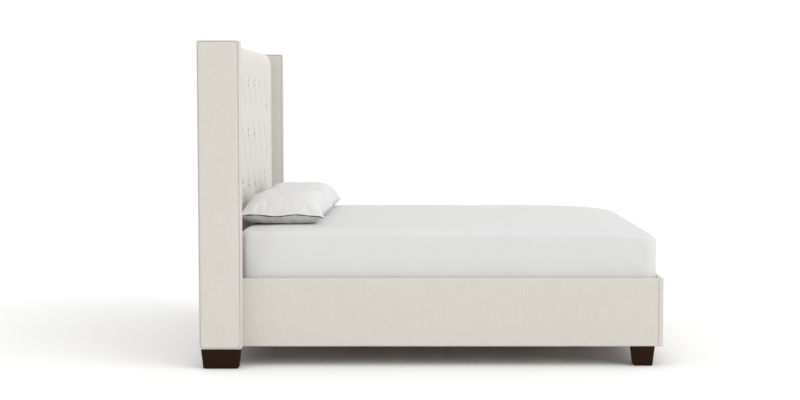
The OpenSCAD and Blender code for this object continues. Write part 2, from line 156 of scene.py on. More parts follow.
def pick_edges(piece: bpy.types.Object, test: Callable[[bmesh.types.BMEdge], bool]) -> None:
    """Selects, in edit mode, exactly the edges that pass a test.

    Args:
        piece: The piece.
        test: Says whether an edge is wanted.
    """
    bpy.ops.mesh.select_mode(type="EDGE")
    mesh = bmesh.from_edit_mesh(piece.data)
    for face in mesh.faces:
        face.select_set(False)
    for edge in mesh.edges:
        edge.select_set(test(edge))
    bmesh.update_edit_mesh(piece.data)


def facing(direction: Vector, limit: float = ALONG_AXIS) -> Callable[[bmesh.types.BMFace], bool]:
    """A test for faces that look along a direction.

    Args:
        direction: A unit vector.
        limit: Smallest cosine that passes.

    Returns:
        The test.
    """
    return lambda face: face.normal.dot(direction) > limit


def points_of(piece: bpy.types.Object) -> np.ndarray:
    """A piece's vertices as an array of rows.

    Args:
        piece: The piece.

    Returns:
        A row of three coordinates for each vertex.
    """
    found = np.empty(len(piece.data.vertices) * 3)
    piece.data.vertices.foreach_get("co", found)
    return found.reshape(-1, 3)


def place_points(piece: bpy.types.Object, points: np.ndarray) -> None:
    """Puts a piece's vertices where an array says.

    Args:
        piece: The piece.
        points: A row of three coordinates for each vertex.
    """
    piece.data.vertices.foreach_set("co", points.astype(np.float32).ravel())
    piece.data.update()


def normals_of(piece: bpy.types.Object) -> np.ndarray:
    """A piece's vertex normals as an array of rows.

    Args:
        piece: The piece.

    Returns:
        A row of three parts for each vertex.
    """
    found = np.empty(len(piece.data.vertices) * 3, np.float32)
    piece.data.vertex_normals.foreach_get("vector", found)
    return found.reshape(-1, 3).astype(float)


def settle(piece: bpy.types.Object) -> None:
    """Puts a piece's place, turn and scale into its mesh.

    Args:
        piece: The piece.
    """
    activate(piece)
    bpy.ops.object.transform_apply(location=True, rotation=True, scale=True)


def add_block(name: str, low: Vector, high: Vector) -> bpy.types.Object:
    """Adds a block between two corners.

    Args:
        name: Name of the new piece.
        low: Its lowest corner.
        high: Its highest corner.

    Returns:
        The new piece, with its place in its mesh.
    """
    clear_selection()
    bpy.ops.mesh.primitive_cube_add(size=1, location=(low + high) / 2, scale=high - low)
    piece = bpy.context.object
    piece.name = name
    piece.data.name = name
    settle(piece)
    return piece


def run_modifier(piece: bpy.types.Object, kind: str, **settings: object) -> None:
    """Adds a modifier with some settings and applies it at once.

    Args:
        piece: The piece.
        kind: The modifier's type.
        settings: Its properties by name.
    """
    activate(piece)
    modifier = piece.modifiers.new(kind.lower(), kind)
    for name, value in settings.items():
        setattr(modifier, name, value)
    bpy.ops.object.modifier_apply(modifier=modifier.name)


def smooth_out(piece: bpy.types.Object, levels: int = 1) -> None:
    """Rounds a piece with applied levels of subdivision surface.

    Args:
        piece: The piece.
        levels: How many levels.
    """
    run_modifier(piece, "SUBSURF", levels=levels, render_levels=levels)


def slice_evenly(piece: bpy.types.Object, axis: Axis, step: float) -> None:
    """Cuts a piece across an axis at even distances, so that it can flex.

    Args:
        piece: The piece to cut.
        axis: The axis that the cuts stand across.
        step: The longest distance between two cuts.
    """
    span = points_of(piece)[:, axis.value]
    count = max(1, math.ceil((span.max() - span.min()) / step))
    with editing(piece):
        for i in range(1, count):
            at = span.min() + (span.max() - span.min()) * i / count
            bpy.ops.mesh.select_all(action="SELECT")
            bpy.ops.mesh.bisect(plane_co=axis.vector * at, plane_no=axis.vector)


def shade(piece: bpy.types.Object, angle: float = 40.0) -> None:
    """Shades a piece smooth, up to an angle in degrees.

    Args:
        piece: The piece.
        angle: Sharpest angle that is still smooth.
    """
    activate(piece)
    bpy.ops.object.shade_smooth_by_angle(angle=math.radians(angle))


def lay_out(piece: bpy.types.Object) -> None:
    """Gives a piece a UV map in metres, laid on each face from the axis that it looks along.

    Args:
        piece: The piece.
    """
    with editing(piece):
        bpy.ops.uv.cube_project(cube_size=1.0, scale_to_bounds=False)


def dress(
    piece: bpy.types.Object, material: bpy.types.Material, slot: str, body: str, *nodes: str
) -> None:
    """Gives a piece its material and body, and lets it stand for its CAD nodes.

    Args:
        piece: The finished piece.
        material: Its material.
        slot: The record's material slot; not used.
        body: The CAD body that it rides on.
        nodes: The CAD nodes that it stands for.
    """
    paint(piece, material)
    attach(piece, body)
    if nodes:
        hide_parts(*nodes)
    faces = len(piece.data.polygons)
    log.info("%s: %d faces, %s, rides on %s", piece.name, faces, material.name, body)


def paint(piece: bpy.types.Object, material: bpy.types.Material) -> None:
    """Gives a piece one material in place of any that it has.

    Args:
        piece: The piece.
        material: Its material.
    """
    piece.data.materials.clear()
    piece.data.materials.append(material)


def copy_of(piece: bpy.types.Object) -> bpy.types.Object:
    """Copies a piece with its own mesh.

    Args:
        piece: The piece to copy.

    Returns:
        The copy, in the scene.
    """
    copy = piece.copy()
    copy.data = piece.data.copy()
    bpy.context.scene.collection.objects.link(copy)
    return copy


def paint_crease_shade(piece: bpy.types.Object, mask: np.ndarray) -> None:
    """Stores where shade is painted into a piece's creases and seams, for its material to darken.

    Args:
        piece: The piece.
        mask: One value for each vertex, from 0 to 1.
    """
    crease_shade = piece.data.attributes.new("crease_shade", "FLOAT", "POINT")
    crease_shade.data.foreach_set("value", mask.astype(np.float32).ravel())


def middle_and_half(low: Vector, high: Vector) -> tuple[np.ndarray, np.ndarray]:
    """The middle of a box and half its size.

    Args:
        low: Its lowest corner.
        high: Its highest corner.

    Returns:
        Both as arrays.
    """
    return np.array((low + high) / 2), np.array((high - low) / 2)


def ripple(points: np.ndarray, wavelength: float, seed: int) -> np.ndarray:
    """Smooth unevenness between -1 and 1, the same at every run.

    Args:
        points: Rows of places, in metres.
        wavelength: Usual distance between two crests.
        seed: Chooses the pattern.

    Returns:
        One value for each row.
    """
    maker = np.random.default_rng(seed)
    waves = 9
    total = np.zeros(len(points))
    for _ in range(waves):
        way = maker.normal(size=3)
        way = way / np.linalg.norm(way) * maker.uniform(0.6, 1.6) * 2 * math.pi / wavelength
        total += np.sin(points @ way + maker.uniform(0, 2 * math.pi))
    return total / math.sqrt(waves * 2)


def simulate(
    piece: bpy.types.Object,
    frames: int,
    pressure: float,
    pinned: str,
    growth: float,
    tension: float,
    bending: float,
) -> None:
    """Runs a cloth simulation on a piece and applies it.

    Args:
        piece: The piece, whose mesh is the cloth at rest.
        frames: How many frames to run.
        pressure: Outward pressure inside the cloth.
        pinned: Vertex group whose points are held.
        growth: Share by which the cloth is longer than its mesh.
        tension: Stiffness against stretching.
        bending: Stiffness against bending.
    """
    scene = bpy.context.scene
    activate(piece)
    modifier = piece.modifiers.new("cloth", "CLOTH")
    cloth = modifier.settings
    cloth.quality = CLOTH_STEPS
    cloth.mass = CLOTH_MASS
    cloth.tension_stiffness = tension
    cloth.compression_stiffness = tension
    cloth.shear_stiffness = tension / 2
    cloth.bending_stiffness = bending
    cloth.effector_weights.gravity = 0.0
    cloth.use_pressure = True
    cloth.uniform_pressure_force = pressure
    cloth.shrink_min = -growth
    cloth.vertex_group_mass = pinned
    modifier.collision_settings.use_self_collision = False
    modifier.collision_settings.use_collision = False
    modifier.point_cache.frame_start = 1
    modifier.point_cache.frame_end = frames
    scene.frame_start = 1
    scene.frame_end = frames
    for step in range(1, frames + 1):
        scene.frame_set(step)
    activate(piece)
    bpy.ops.object.modifier_apply(modifier=modifier.name)
    scene.frame_set(1)


# ---- material building ----


class Nodes:
    """Builds the node tree of a material or of a shader group, a node at a time."""

    def __init__(self, tree: bpy.types.NodeTree) -> None:
        """Starts on an empty tree.

        Args:
            tree: The tree to build in.
        """
        self.tree = tree

    def add(self, kind: str, settings: dict | None = None, **inputs: object) -> bpy.types.Node:
        """Adds a node.

        Args:
            kind: The node's type, without its ShaderNode prefix.
            settings: Properties of the node.
            inputs: A value or an output socket for each input, by name with _ for a space.

        Returns:
            The new node.
        """
        node = self.tree.nodes.new(kind if kind.startswith("NodeGroup") else "ShaderNode" + kind)
        for name, value in (settings or {}).items():
            setattr(node, name, value)
        for name, value in inputs.items():
            key = int(name[1:]) if name[0] == "i" and name[1:].isdigit() else name.replace("_", " ")
            self.join(value, node.inputs[key])
        return node

    def join(self, value: object, socket: bpy.types.NodeSocket) -> None:
        """Links an output to a socket, or sets the socket's own value.

        Args:
            value: An output socket or a plain value.
            socket: The input that takes it.
        """
        if isinstance(value, bpy.types.NodeSocket):
            self.tree.links.new(value, socket)
        else:
            socket.default_value = value

    def maths(self, operation: str, *values: object, clamp: bool = False) -> bpy.types.NodeSocket:
        """Adds a Math node and returns its output.

        Args:
            operation: What the node does.
            values: A value or a socket for each input.
            clamp: Whether the result stays between 0 and 1.

        Returns:
            The output.
        """
        node = self.add("Math", {"operation": operation, "use_clamp": clamp})
        for i, value in enumerate(values):
            self.join(value, node.inputs[i])
        return node.outputs[0]

    def noise(self, vector: object, scale: float, detail: float = 3.0, rough: float = 0.55) -> object:
        """Adds a Noise Texture and returns its grey output.

        Args:
            vector: Its coordinates.
            scale: Its scale.
            detail: How many octaves it has.
            rough: How strong the finer ones are.

        Returns:
            The grey output.
        """
        made = self.add("TexNoise", Vector=vector, Scale=scale, Detail=detail, Roughness=rough)
        return made.outputs[0]

    def spread(self, value: object, low: float, high: float, to_low: float, to_high: float) -> object:
        """Maps a range of values to another range, clamped.

        Args:
            value: What is mapped.
            low: Start of its range.
            high: End of its range.
            to_low: Start of the new range.
            to_high: End of the new range.

        Returns:
            The mapped value.
        """
        node = self.add("MapRange", None, Value=value, From_Min=low, From_Max=high,
                        To_Min=to_low, To_Max=to_high)
        return node.outputs[0]

    def blend(self, share: object, first: object, second: object, kind: str = "MIX") -> object:
        """Mixes two colours and returns the mixed one.

        Args:
            share: How much of the second is mixed in.
            first: The first colour.
            second: The second colour.
            kind: How they are mixed.

        Returns:
            The mixed colour.
        """
        node = self.add("Mix", {"data_type": "RGBA", "blend_type": kind})
        self.join(share, node.inputs[0])
        self.join(first, node.inputs[6])
        self.join(second, node.inputs[7])
        return node.outputs[2]

    def scaled(self, vector: object, scale: Sequence[float],
               turn: Sequence[float] = (0, 0, 0)) -> object:
        """Scales and turns a pattern's coordinates.

        Args:
            vector: The coordinates.
            scale: Scale along each axis.
            turn: Turn about each axis.

        Returns:
            The new coordinates.
        """
        node = self.add("Mapping", None, Vector=vector, Scale=scale, Rotation=turn)
        return node.outputs[0]


Rgb = tuple[float, float, float]


def rgba(colour: Rgb, gain: float = 1.0) -> tuple[float, float, float, float]:
    """A colour with full alpha, brightened by a gain.

    Args:
        colour: Red, green and blue.
        gain: What each is multiplied by.

    Returns:
        Red, green, blue and alpha.
    """
    return (*(min(1.0, part * gain) for part in colour), 1.0)


def new_group(name: str, inputs: dict[str, tuple[str, object]], outputs: dict[str, str]) -> Nodes:
    """Starts a shader node group.

    Args:
        name: The group's name.
        inputs: For each input its socket type and default value.
        outputs: For each output its socket type.

    Returns:
        A builder on the group's tree, which holds its input and output nodes.
    """
    tree = bpy.data.node_groups.new(name, "ShaderNodeTree")
    for key, (kind, value) in inputs.items():
        socket = tree.interface.new_socket(key, in_out="INPUT", socket_type="NodeSocket" + kind)
        if kind != "Vector":
            socket.default_value = value
    for key, kind in outputs.items():
        tree.interface.new_socket(key, in_out="OUTPUT", socket_type="NodeSocket" + kind)
    return Nodes(tree)


def weave_group() -> bpy.types.NodeTree:
    """Plain weave: two sets of threads that pass over and under, with thick and thin ones.

    Returns:
        A group with a height, a gap mask, a slub mask and a mask of thicker bundles of threads.
    """
    build = new_group(
        "plain_weave",
        {"Vector": ("Vector", None), "Threads": ("Float", 800.0), "Unevenness": ("Float", 0.3)},
        {"Height": "Float", "Gap": "Float", "Slub": "Float", "Cross": "Float"},
    )
    given = build.add("NodeGroupInput").outputs
    wander = build.add("TexNoise", Vector=given["Vector"], Scale=90.0, Detail=2.0)
    shift = build.add("VectorMath", {"operation": "SCALE"}, i0=wander.outputs[1], Scale=0.0009)
    moved = build.add("VectorMath", {"operation": "ADD"}, i0=given["Vector"], i1=shift.outputs[0])
    parts = build.add("SeparateXYZ", None, Vector=moved.outputs[0])
    turns = build.maths("MULTIPLY", given["Threads"], math.pi)
    waves = []
    for i in range(2):
        angle = build.maths("MULTIPLY", parts.outputs[i], turns)
        waves.append(build.maths("SINE", angle))
    crown = [build.maths("SUBTRACT", 1.0, build.maths("MULTIPLY", w, w)) for w in waves]
    half = [build.maths("MULTIPLY", parts.outputs[i], given["Threads"]) for i in range(2)]
    cell = [build.maths("FLOOR", build.maths("ADD", h, 0.5)) for h in half]
    checker = build.maths("PINGPONG", build.maths("ADD", *cell), 1.0)
    weft = build.maths("MULTIPLY", crown[0], checker)
    warp = build.maths("MULTIPLY", crown[1], build.maths("SUBTRACT", 1.0, checker))
    height = build.maths("ADD", weft, warp)
    gap = build.maths("SUBTRACT", 1.0, build.maths("MAXIMUM", *crown), clamp=True)
    streaks = []
    for stretch in ((22.0, 420.0, 1.0), (420.0, 22.0, 1.0)):
        long = build.scaled(given["Vector"], stretch)
        thick = build.noise(long, 1.0, 3.0, 0.6)
        streaks.append(build.spread(thick, 0.42, 0.74, 0.0, 1.0))
    slub = build.maths("MAXIMUM", *streaks)
    bundles = []
    for stretch in ((9.0, 190.0, 1.0), (190.0, 9.0, 1.0)):
        broad = build.noise(build.scaled(given["Vector"], stretch), 1.0, 2.0, 0.6)
        bundles.append(build.spread(broad, 0.36, 0.64, 0.0, 0.5))
    rise = build.maths("MULTIPLY", slub, given["Unevenness"])
    out = build.add("NodeGroupOutput")
    build.join(build.maths("ADD", height, rise), out.inputs["Height"])
    build.join(gap, out.inputs["Gap"])
    build.join(slub, out.inputs["Slub"])
    build.join(build.maths("ADD", *bundles), out.inputs["Cross"])
    return build.tree


def grain_group() -> bpy.types.NodeTree:
    """Wood grain along the vector's X: growth rings, pores and slow changes of colour.

    Returns:
        A group with a ring mask, a pore mask and a slow tone.
    """
    build = new_group(
        "wood_grain",
        {"Vector": ("Vector", None), "Rings": ("Float", 60.0)},
        {"Ring": "Float", "Pore": "Float", "Tone": "Float"},
    )
    given = build.add("NodeGroupInput").outputs
    slow = build.scaled(given["Vector"], (1.4, 9.0, 9.0))
    bend = build.add("TexNoise", Vector=slow, Scale=1.0, Detail=2.0)
    push = build.add("VectorMath", {"operation": "SCALE"}, i0=bend.outputs[1], Scale=0.06)
    moved = build.add("VectorMath", {"operation": "ADD"}, i0=given["Vector"], i1=push.outputs[0])
    flat = build.scaled(moved.outputs[0], (0.06, 1.0, 0.55))
    rings = build.add("TexWave", {"wave_type": "RINGS", "rings_direction": "X"}, Vector=flat,
                      Scale=given["Rings"], Distortion=1.4, Detail=2.0)
    fine = build.scaled(given["Vector"], (14.0, 900.0, 900.0))
    pore = build.spread(build.noise(fine, 1.0, 2.0, 0.5), 0.52, 0.72, 0.0, 1.0)
    out = build.add("NodeGroupOutput")
    build.join(rings.outputs[1], out.inputs["Ring"])
    build.join(pore, out.inputs["Pore"])
    build.join(build.noise(slow, 1.0, 3.0, 0.5), out.inputs["Tone"])
    return build.tree


def edge_wear_group() -> bpy.types.NodeTree:
    """Edges that are rubbed by use, as a mask from how sharply the surface turns.

    Returns:
        A group with one mask.
    """
    build = new_group(
        "edge_wear",
        {"Vector": ("Vector", None), "Amount": ("Float", 0.5)},
        {"Mask": "Float"},
    )
    given = build.add("NodeGroupInput").outputs
    turned = build.add("NewGeometry").outputs["Pointiness"]
    edge = build.spread(turned, 0.52, 0.6, 0.0, 1.0)
    patch = build.spread(build.noise(given["Vector"], 40.0, 4.0), 0.4, 0.65, 0.0, 1.0)
    both = build.maths("MULTIPLY", edge, patch)
    out = build.add("NodeGroupOutput")
    build.join(build.maths("MULTIPLY", both, given["Amount"]), out.inputs["Mask"])
    return build.tree


class Effects:
    """The node groups that several materials share, each built once."""

    weave: bpy.types.NodeTree
    grain: bpy.types.NodeTree
    wear: bpy.types.NodeTree

    @classmethod
    def build(cls) -> None:
        """Builds the groups."""
        cls.weave = weave_group()
        cls.grain = grain_group()
        cls.wear = edge_wear_group()


@dataclass(frozen=True)
class Finish:
    """Common ground of every finish: a name, and a Principled shader with its own values."""

    name: str
    colour: Rgb
    roughness: float = 0.8

    def make(self) -> bpy.types.Material:
        """Builds the material.

        Returns:
            The new material.
        """
        material = bpy.data.materials.new(self.name)
        material.use_nodes = True
        material.diffuse_color = rgba(self.colour)
        build = Nodes(material.node_tree)
        shader = material.node_tree.nodes["Principled BSDF"]
        shader.inputs["Base Color"].default_value = rgba(self.colour)
        shader.inputs["Roughness"].default_value = self.roughness
        self.finish(build, shader)
        return material

    def finish(self, build: Nodes, shader: bpy.types.Node) -> None:
        """Adds the finish's own pattern.

        Args:
            build: The material\'s builder.
            shader: Its Principled shader.
        """

    def bump(self, build: Nodes, shader: bpy.types.Node, *layers: tuple[object, float, float]) -> None:
        """Stacks bump layers on the shader.

        Args:
            build: The material's builder.
            shader: Its Principled shader.
            layers: Height socket, strength and depth in metres of each layer.
        """
        below = None
        for height, strength, depth in layers:
            node = build.add("Bump", None, Strength=strength, Distance=depth, Height=height)
            if below is not None:
                build.join(below, node.inputs["Normal"])
            below = node.outputs[0]
        build.join(below, shader.inputs["Normal"])


@dataclass(frozen=True)
class Cloth(Finish):
    """Woven cloth: threads, slubs, slow unevenness of the dye, a soft sheen and painted shade in marked
    creases.
    """

    threads: float = 800.0
    unevenness: float = 0.35
    slub_tint: float = 0.93
    cross_tint: float = 0.82
    cross_gain: float = 1.10
    cross_share: float = 0.6
    gap_tint: float = 0.72
    sheen: float = 0.15
    # Painted shade: how dark the cloth turns in marked creases and seams; 1 paints none.
    crease_shade_tint: float = 1.0
    pucker: float = 0.0

    def finish(self, build: Nodes, shader: bpy.types.Node) -> None:
        """Adds the weave.

        Args:
            build: The material\'s builder.
            shader: Its Principled shader.
        """
        coords = build.add("TexCoord").outputs
        weave = build.add("Group", {"node_tree": Effects.weave}, Vector=coords["UV"],
                          Threads=self.threads, Unevenness=self.unevenness).outputs
        slow = build.noise(coords["Object"], 3.5, 4.0)
        tone = build.blend(build.spread(slow, 0.35, 0.65, 0.0, 1.0),
                           rgba(self.colour, 0.965), rgba(self.colour, 1.025))
        crossed = build.blend(weave["Cross"], rgba(self.colour, self.cross_gain),
                              rgba(self.colour, self.cross_tint))
        tone = build.blend(self.cross_share, tone, crossed)
        slubs = build.blend(weave["Slub"], tone, rgba(self.colour, self.slub_tint))
        gaps = build.maths("MULTIPLY", weave["Gap"], 0.8)
        colour = build.blend(gaps, slubs, rgba(self.colour, self.gap_tint))
        # Painted shade in the creases and seams that the mesh marks.
        if self.crease_shade_tint < 1.0:
            crease_shade = build.add("Attribute", {"attribute_name": "crease_shade"}).outputs["Fac"]
            colour = build.blend(crease_shade, colour, rgba(self.colour, self.crease_shade_tint))
        build.join(colour, shader.inputs["Base Color"])
        fuzz = build.noise(coords["Object"], 1900.0, 2.0)
        rough = build.spread(fuzz, 0.3, 0.7, self.roughness - 0.06, self.roughness + 0.06)
        build.join(rough, shader.inputs["Roughness"])
        shader.inputs["Sheen Weight"].default_value = self.sheen
        shader.inputs["Sheen Roughness"].default_value = 0.45
        shader.inputs["Specular IOR Level"].default_value = 0.2
        layers = [(weave["Height"], 0.35, 0.0003)]
        if self.pucker:
            drape = build.noise(coords["Object"], 16.0, 3.0)
            layers.insert(0, (drape, self.pucker, 0.004))
        self.bump(build, shader, *layers)


class Grain(Enum):
    """Which way a timber's grain runs, as the turn that brings it to X."""

    ALONG = (0.0, 0.0, 0.0)
    ACROSS = (0.0, 0.0, math.pi / 2)
    UPRIGHT = (0.0, math.pi / 2, 0.0)


@dataclass(frozen=True)
class Wood(Finish):
    """Solid timber: rings, pores, rubbed edges, and how much its surface shines."""

    dark: Rgb = (0.3, 0.18, 0.08)
    rings: float = 60.0
    ring_share: float = 0.45
    grain: Grain = Grain.ALONG
    gloss: float = 0.5
    worn: Rgb = (0.6, 0.45, 0.3)
    wear: float = 0.3

    def finish(self, build: Nodes, shader: bpy.types.Node) -> None:
        """Adds the grain and the wear.

        Args:
            build: The material\'s builder.
            shader: Its Principled shader.
        """
        coords = build.add("TexCoord").outputs["Object"]
        turned = build.scaled(coords, (1, 1, 1), self.grain.value)
        grain = build.add("Group", {"node_tree": Effects.grain}, Vector=turned,
                          Rings=self.rings).outputs
        rings = build.maths("MULTIPLY", grain["Ring"], self.ring_share)
        colour = build.blend(rings, rgba(self.colour), rgba(self.dark))
        toned = build.blend(build.spread(grain["Tone"], 0.35, 0.65, 0.0, 0.35),
                            colour, rgba(self.dark))
        pores = build.blend(build.maths("MULTIPLY", grain["Pore"], 0.45),
                            toned, rgba(self.dark, 0.6))
        worn = build.add("Group", {"node_tree": Effects.wear}, Vector=coords,
                         Amount=self.wear).outputs[0]
        build.join(build.blend(worn, pores, rgba(self.worn)), shader.inputs["Base Color"])
        rough = build.spread(grain["Pore"], 0.0, 1.0, self.roughness, self.roughness + 0.15)
        build.join(rough, shader.inputs["Roughness"])
        shader.inputs["Specular IOR Level"].default_value = self.gloss
        height = build.maths("MULTIPLY", grain["Pore"], -1.0)
        self.bump(build, shader, (height, 0.3, 0.0003))


@dataclass(frozen=True)
class Plywood(Finish):
    """Plywood: a veneer with upright grain, and the plies' stripes on its edges."""

    dark: Rgb = (0.32, 0.2, 0.1)
    ply: float = 0.0024

    def finish(self, build: Nodes, shader: bpy.types.Node) -> None:
        """Adds the veneer and the plies.

        Args:
            build: The material\'s builder.
            shader: Its Principled shader.
        """
        coords = build.add("TexCoord").outputs["Object"]
        turned = build.scaled(coords, (1, 1, 1), Grain.UPRIGHT.value)
        grain = build.add("Group", {"node_tree": Effects.grain}, Vector=turned, Rings=14.0).outputs
        face = build.blend(build.maths("MULTIPLY", grain["Ring"], 0.3),
                           rgba(self.colour), rgba(self.dark))
        depth = build.add("SeparateXYZ", None, Vector=coords).outputs[0]
        turns = build.maths("MULTIPLY", depth, math.pi / self.ply)
        stripes = build.spread(build.maths("SINE", turns), -0.3, 0.3, 0.0, 0.7)
        edge = build.blend(stripes, rgba(self.colour), rgba(self.dark))
        side = build.add("NewGeometry").outputs["Normal"]
        along = build.maths("ABSOLUTE", build.add("SeparateXYZ", None, Vector=side).outputs[0])
        share = build.spread(along, 0.4, 0.6, 0.0, 1.0)
        build.join(build.blend(share, edge, face), shader.inputs["Base Color"])
        self.bump(build, shader, (grain["Pore"], 0.25, 0.0003))


@dataclass(frozen=True)
class Zinc(Finish):
    """Zinc-plated steel: bright, faintly mottled, with fine scratches and duller patches."""

    roughness: float = 0.34

    def finish(self, build: Nodes, shader: bpy.types.Node) -> None:
        """Adds the plating.

        Args:
            build: The material\'s builder.
            shader: Its Principled shader.
        """
        coords = build.add("TexCoord").outputs["Object"]
        plates = build.add("TexVoronoi", None, Vector=coords, Scale=220.0).outputs["Distance"]
        mottle = build.spread(plates, 0.0, 0.6, 0.0, 1.0)
        colour = build.blend(mottle, rgba(self.colour, 0.88), rgba(self.colour, 1.05))
        dull = build.noise(coords, 60.0, 5.0)
        rough = build.spread(dull, 0.35, 0.7, self.roughness - 0.1, self.roughness + 0.16)
        build.join(colour, shader.inputs["Base Color"])
        build.join(rough, shader.inputs["Roughness"])
        shader.inputs["Metallic"].default_value = 1.0
        lines = build.noise(build.scaled(coords, (60.0, 900.0, 900.0)), 1.0, 2.0)
        self.bump(build, shader, (lines, 0.12, 0.0001))


@dataclass(frozen=True)
class Fleece(Finish):
    """Pressed felt or moulded rubber: a soft, uneven nap of one fibre or pebble size."""

    nap: float = 900.0
    depth: float = 0.0005
    sheen: float = 0.3

    def finish(self, build: Nodes, shader: bpy.types.Node) -> None:
        """Adds the nap.

        Args:
            build: The material\'s builder.
            shader: Its Principled shader.
        """
        coords = build.add("TexCoord").outputs["Object"]
        fibre = build.noise(coords, self.nap, 5.0, 0.7)
        patch = build.noise(coords, 45.0, 3.0)
        tone = build.blend(build.spread(fibre, 0.35, 0.65, 0.0, 1.0),
                           rgba(self.colour, 0.6), rgba(self.colour, 1.5))
        dusty = build.blend(build.spread(patch, 0.45, 0.75, 0.0, 0.3),
                            tone, rgba(self.colour, 2.4))
        build.join(dusty, shader.inputs["Base Color"])
        shader.inputs["Sheen Weight"].default_value = self.sheen
        self.bump(build, shader, (fibre, 0.5, self.depth))


@dataclass(frozen=True)
class Ticking(Cloth):
    """Mattress ticking: a fine weave quilted in diamonds."""

    quilt: float = 0.07

    def finish(self, build: Nodes, shader: bpy.types.Node) -> None:
        """Adds the quilting over the weave.

        Args:
            build: The material\'s builder.
            shader: Its Principled shader.
        """
        super().finish(build, shader)
        flat = build.add("TexCoord").outputs["UV"]
        parts = build.add("SeparateXYZ", None, Vector=flat).outputs
        lines = []
        for sign in (1.0, -1.0):
            slant = build.maths("ADD", parts[0], build.maths("MULTIPLY", parts[1], sign))
            wave = build.maths("SINE", build.maths("MULTIPLY", slant, math.pi / self.quilt))
            lines.append(build.maths("POWER", build.maths("ABSOLUTE", wave), 0.35))
        puff = build.maths("MINIMUM", *lines)
        weave = shader.inputs["Normal"].links[0].from_node
        quilt = build.add("Bump", None, Strength=0.9, Distance=0.005, Height=puff)
        build.join(quilt.outputs[0], weave.inputs["Normal"])


class Palette:
    """Every material of the bed, made once."""

    def __init__(self) -> None:
        """Builds the shared effects and then the materials."""
        Effects.build()
        linen = (0.635, 0.607, 0.555)
        # The linen's seams and the tufted linen's creases get painted shade, darker on the tufted pad.
        self.linen = Cloth("ivory_linen", linen, 0.86, threads=760.0, crease_shade_tint=0.6).make()
        self.tufted = Cloth("tufted_linen", (0.685, 0.658, 0.61), 0.84, threads=760.0,
                            crease_shade_tint=0.45).make()
        cotton = {"threads": 1500.0, "unevenness": 0.1, "slub_tint": 0.985, "cross_tint": 1.08,
                  "gap_tint": 0.9, "sheen": 0.1}
        self.cotton = Cloth("white_cotton", (0.645, 0.645, 0.643), 0.8, pucker=0.12,
                            **cotton).make()
        # Painted shade: the sheet is a darker copy of the pillows' white cotton, darkened to stand for
        # the shade on the mattress.
        self.shaded_sheeting = Cloth("sheet_cotton", (0.608, 0.608, 0.606), 0.8, pucker=0.06,
                              **cotton).make()
        self.ticking = Ticking("mattress_ticking", (0.74, 0.74, 0.72), 0.82, threads=1100.0,
                               slub_tint=0.97, cross_tint=1.05).make()
        pine = (0.60, 0.46, 0.29)
        late = (0.40, 0.26, 0.125)
        self.timber = {
            way: Wood(f"timber_{way.name.lower()}", pine, 0.62, dark=late, rings=34.0,
                      grain=way, worn=(0.7, 0.54, 0.36)).make()
            for way in Grain
        }
        self.plywood = Plywood("plywood", (0.60, 0.45, 0.28), 0.65).make()
        self.espresso = Wood("espresso_wood", (0.024, 0.0105, 0.0038), 0.5,
                             dark=(0.010, 0.004, 0.0015), rings=70.0, grain=Grain.UPRIGHT,
                             gloss=0.06, worn=(0.07, 0.036, 0.018), wear=0.35).make()
        self.zinc = Zinc("zinc_steel", (0.62, 0.63, 0.65)).make()
        self.felt = Fleece("felt_pad", (0.05, 0.048, 0.045), 0.95).make()
        self.rubber = Fleece("rubber_pad", (0.028, 0.028, 0.029), 0.6, nap=500.0,
                             depth=0.0002, sheen=0.0).make()


# ---- headboard ----


def button_places() -> list[Vector]:
    """Where the buttons sit.

    Returns:
        The middle of each button's seat, from the separate solids of their CAD node.
    """
    clear_selection()
    copy = copy_of(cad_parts["tuft_buttons"])
    copy.parent = None
    with editing(copy):
        bpy.ops.mesh.remove_doubles(threshold=WELD)
        bpy.ops.mesh.separate(type="LOOSE")
    places = []
    for part in list(bpy.context.selected_objects):
        points = points_of(part)
        middle = (points.min(0) + points.max(0)) / 2
        places.append(Vector((points[:, 0].min(), middle[1], middle[2])))
        bpy.data.objects.remove(part)
    return places


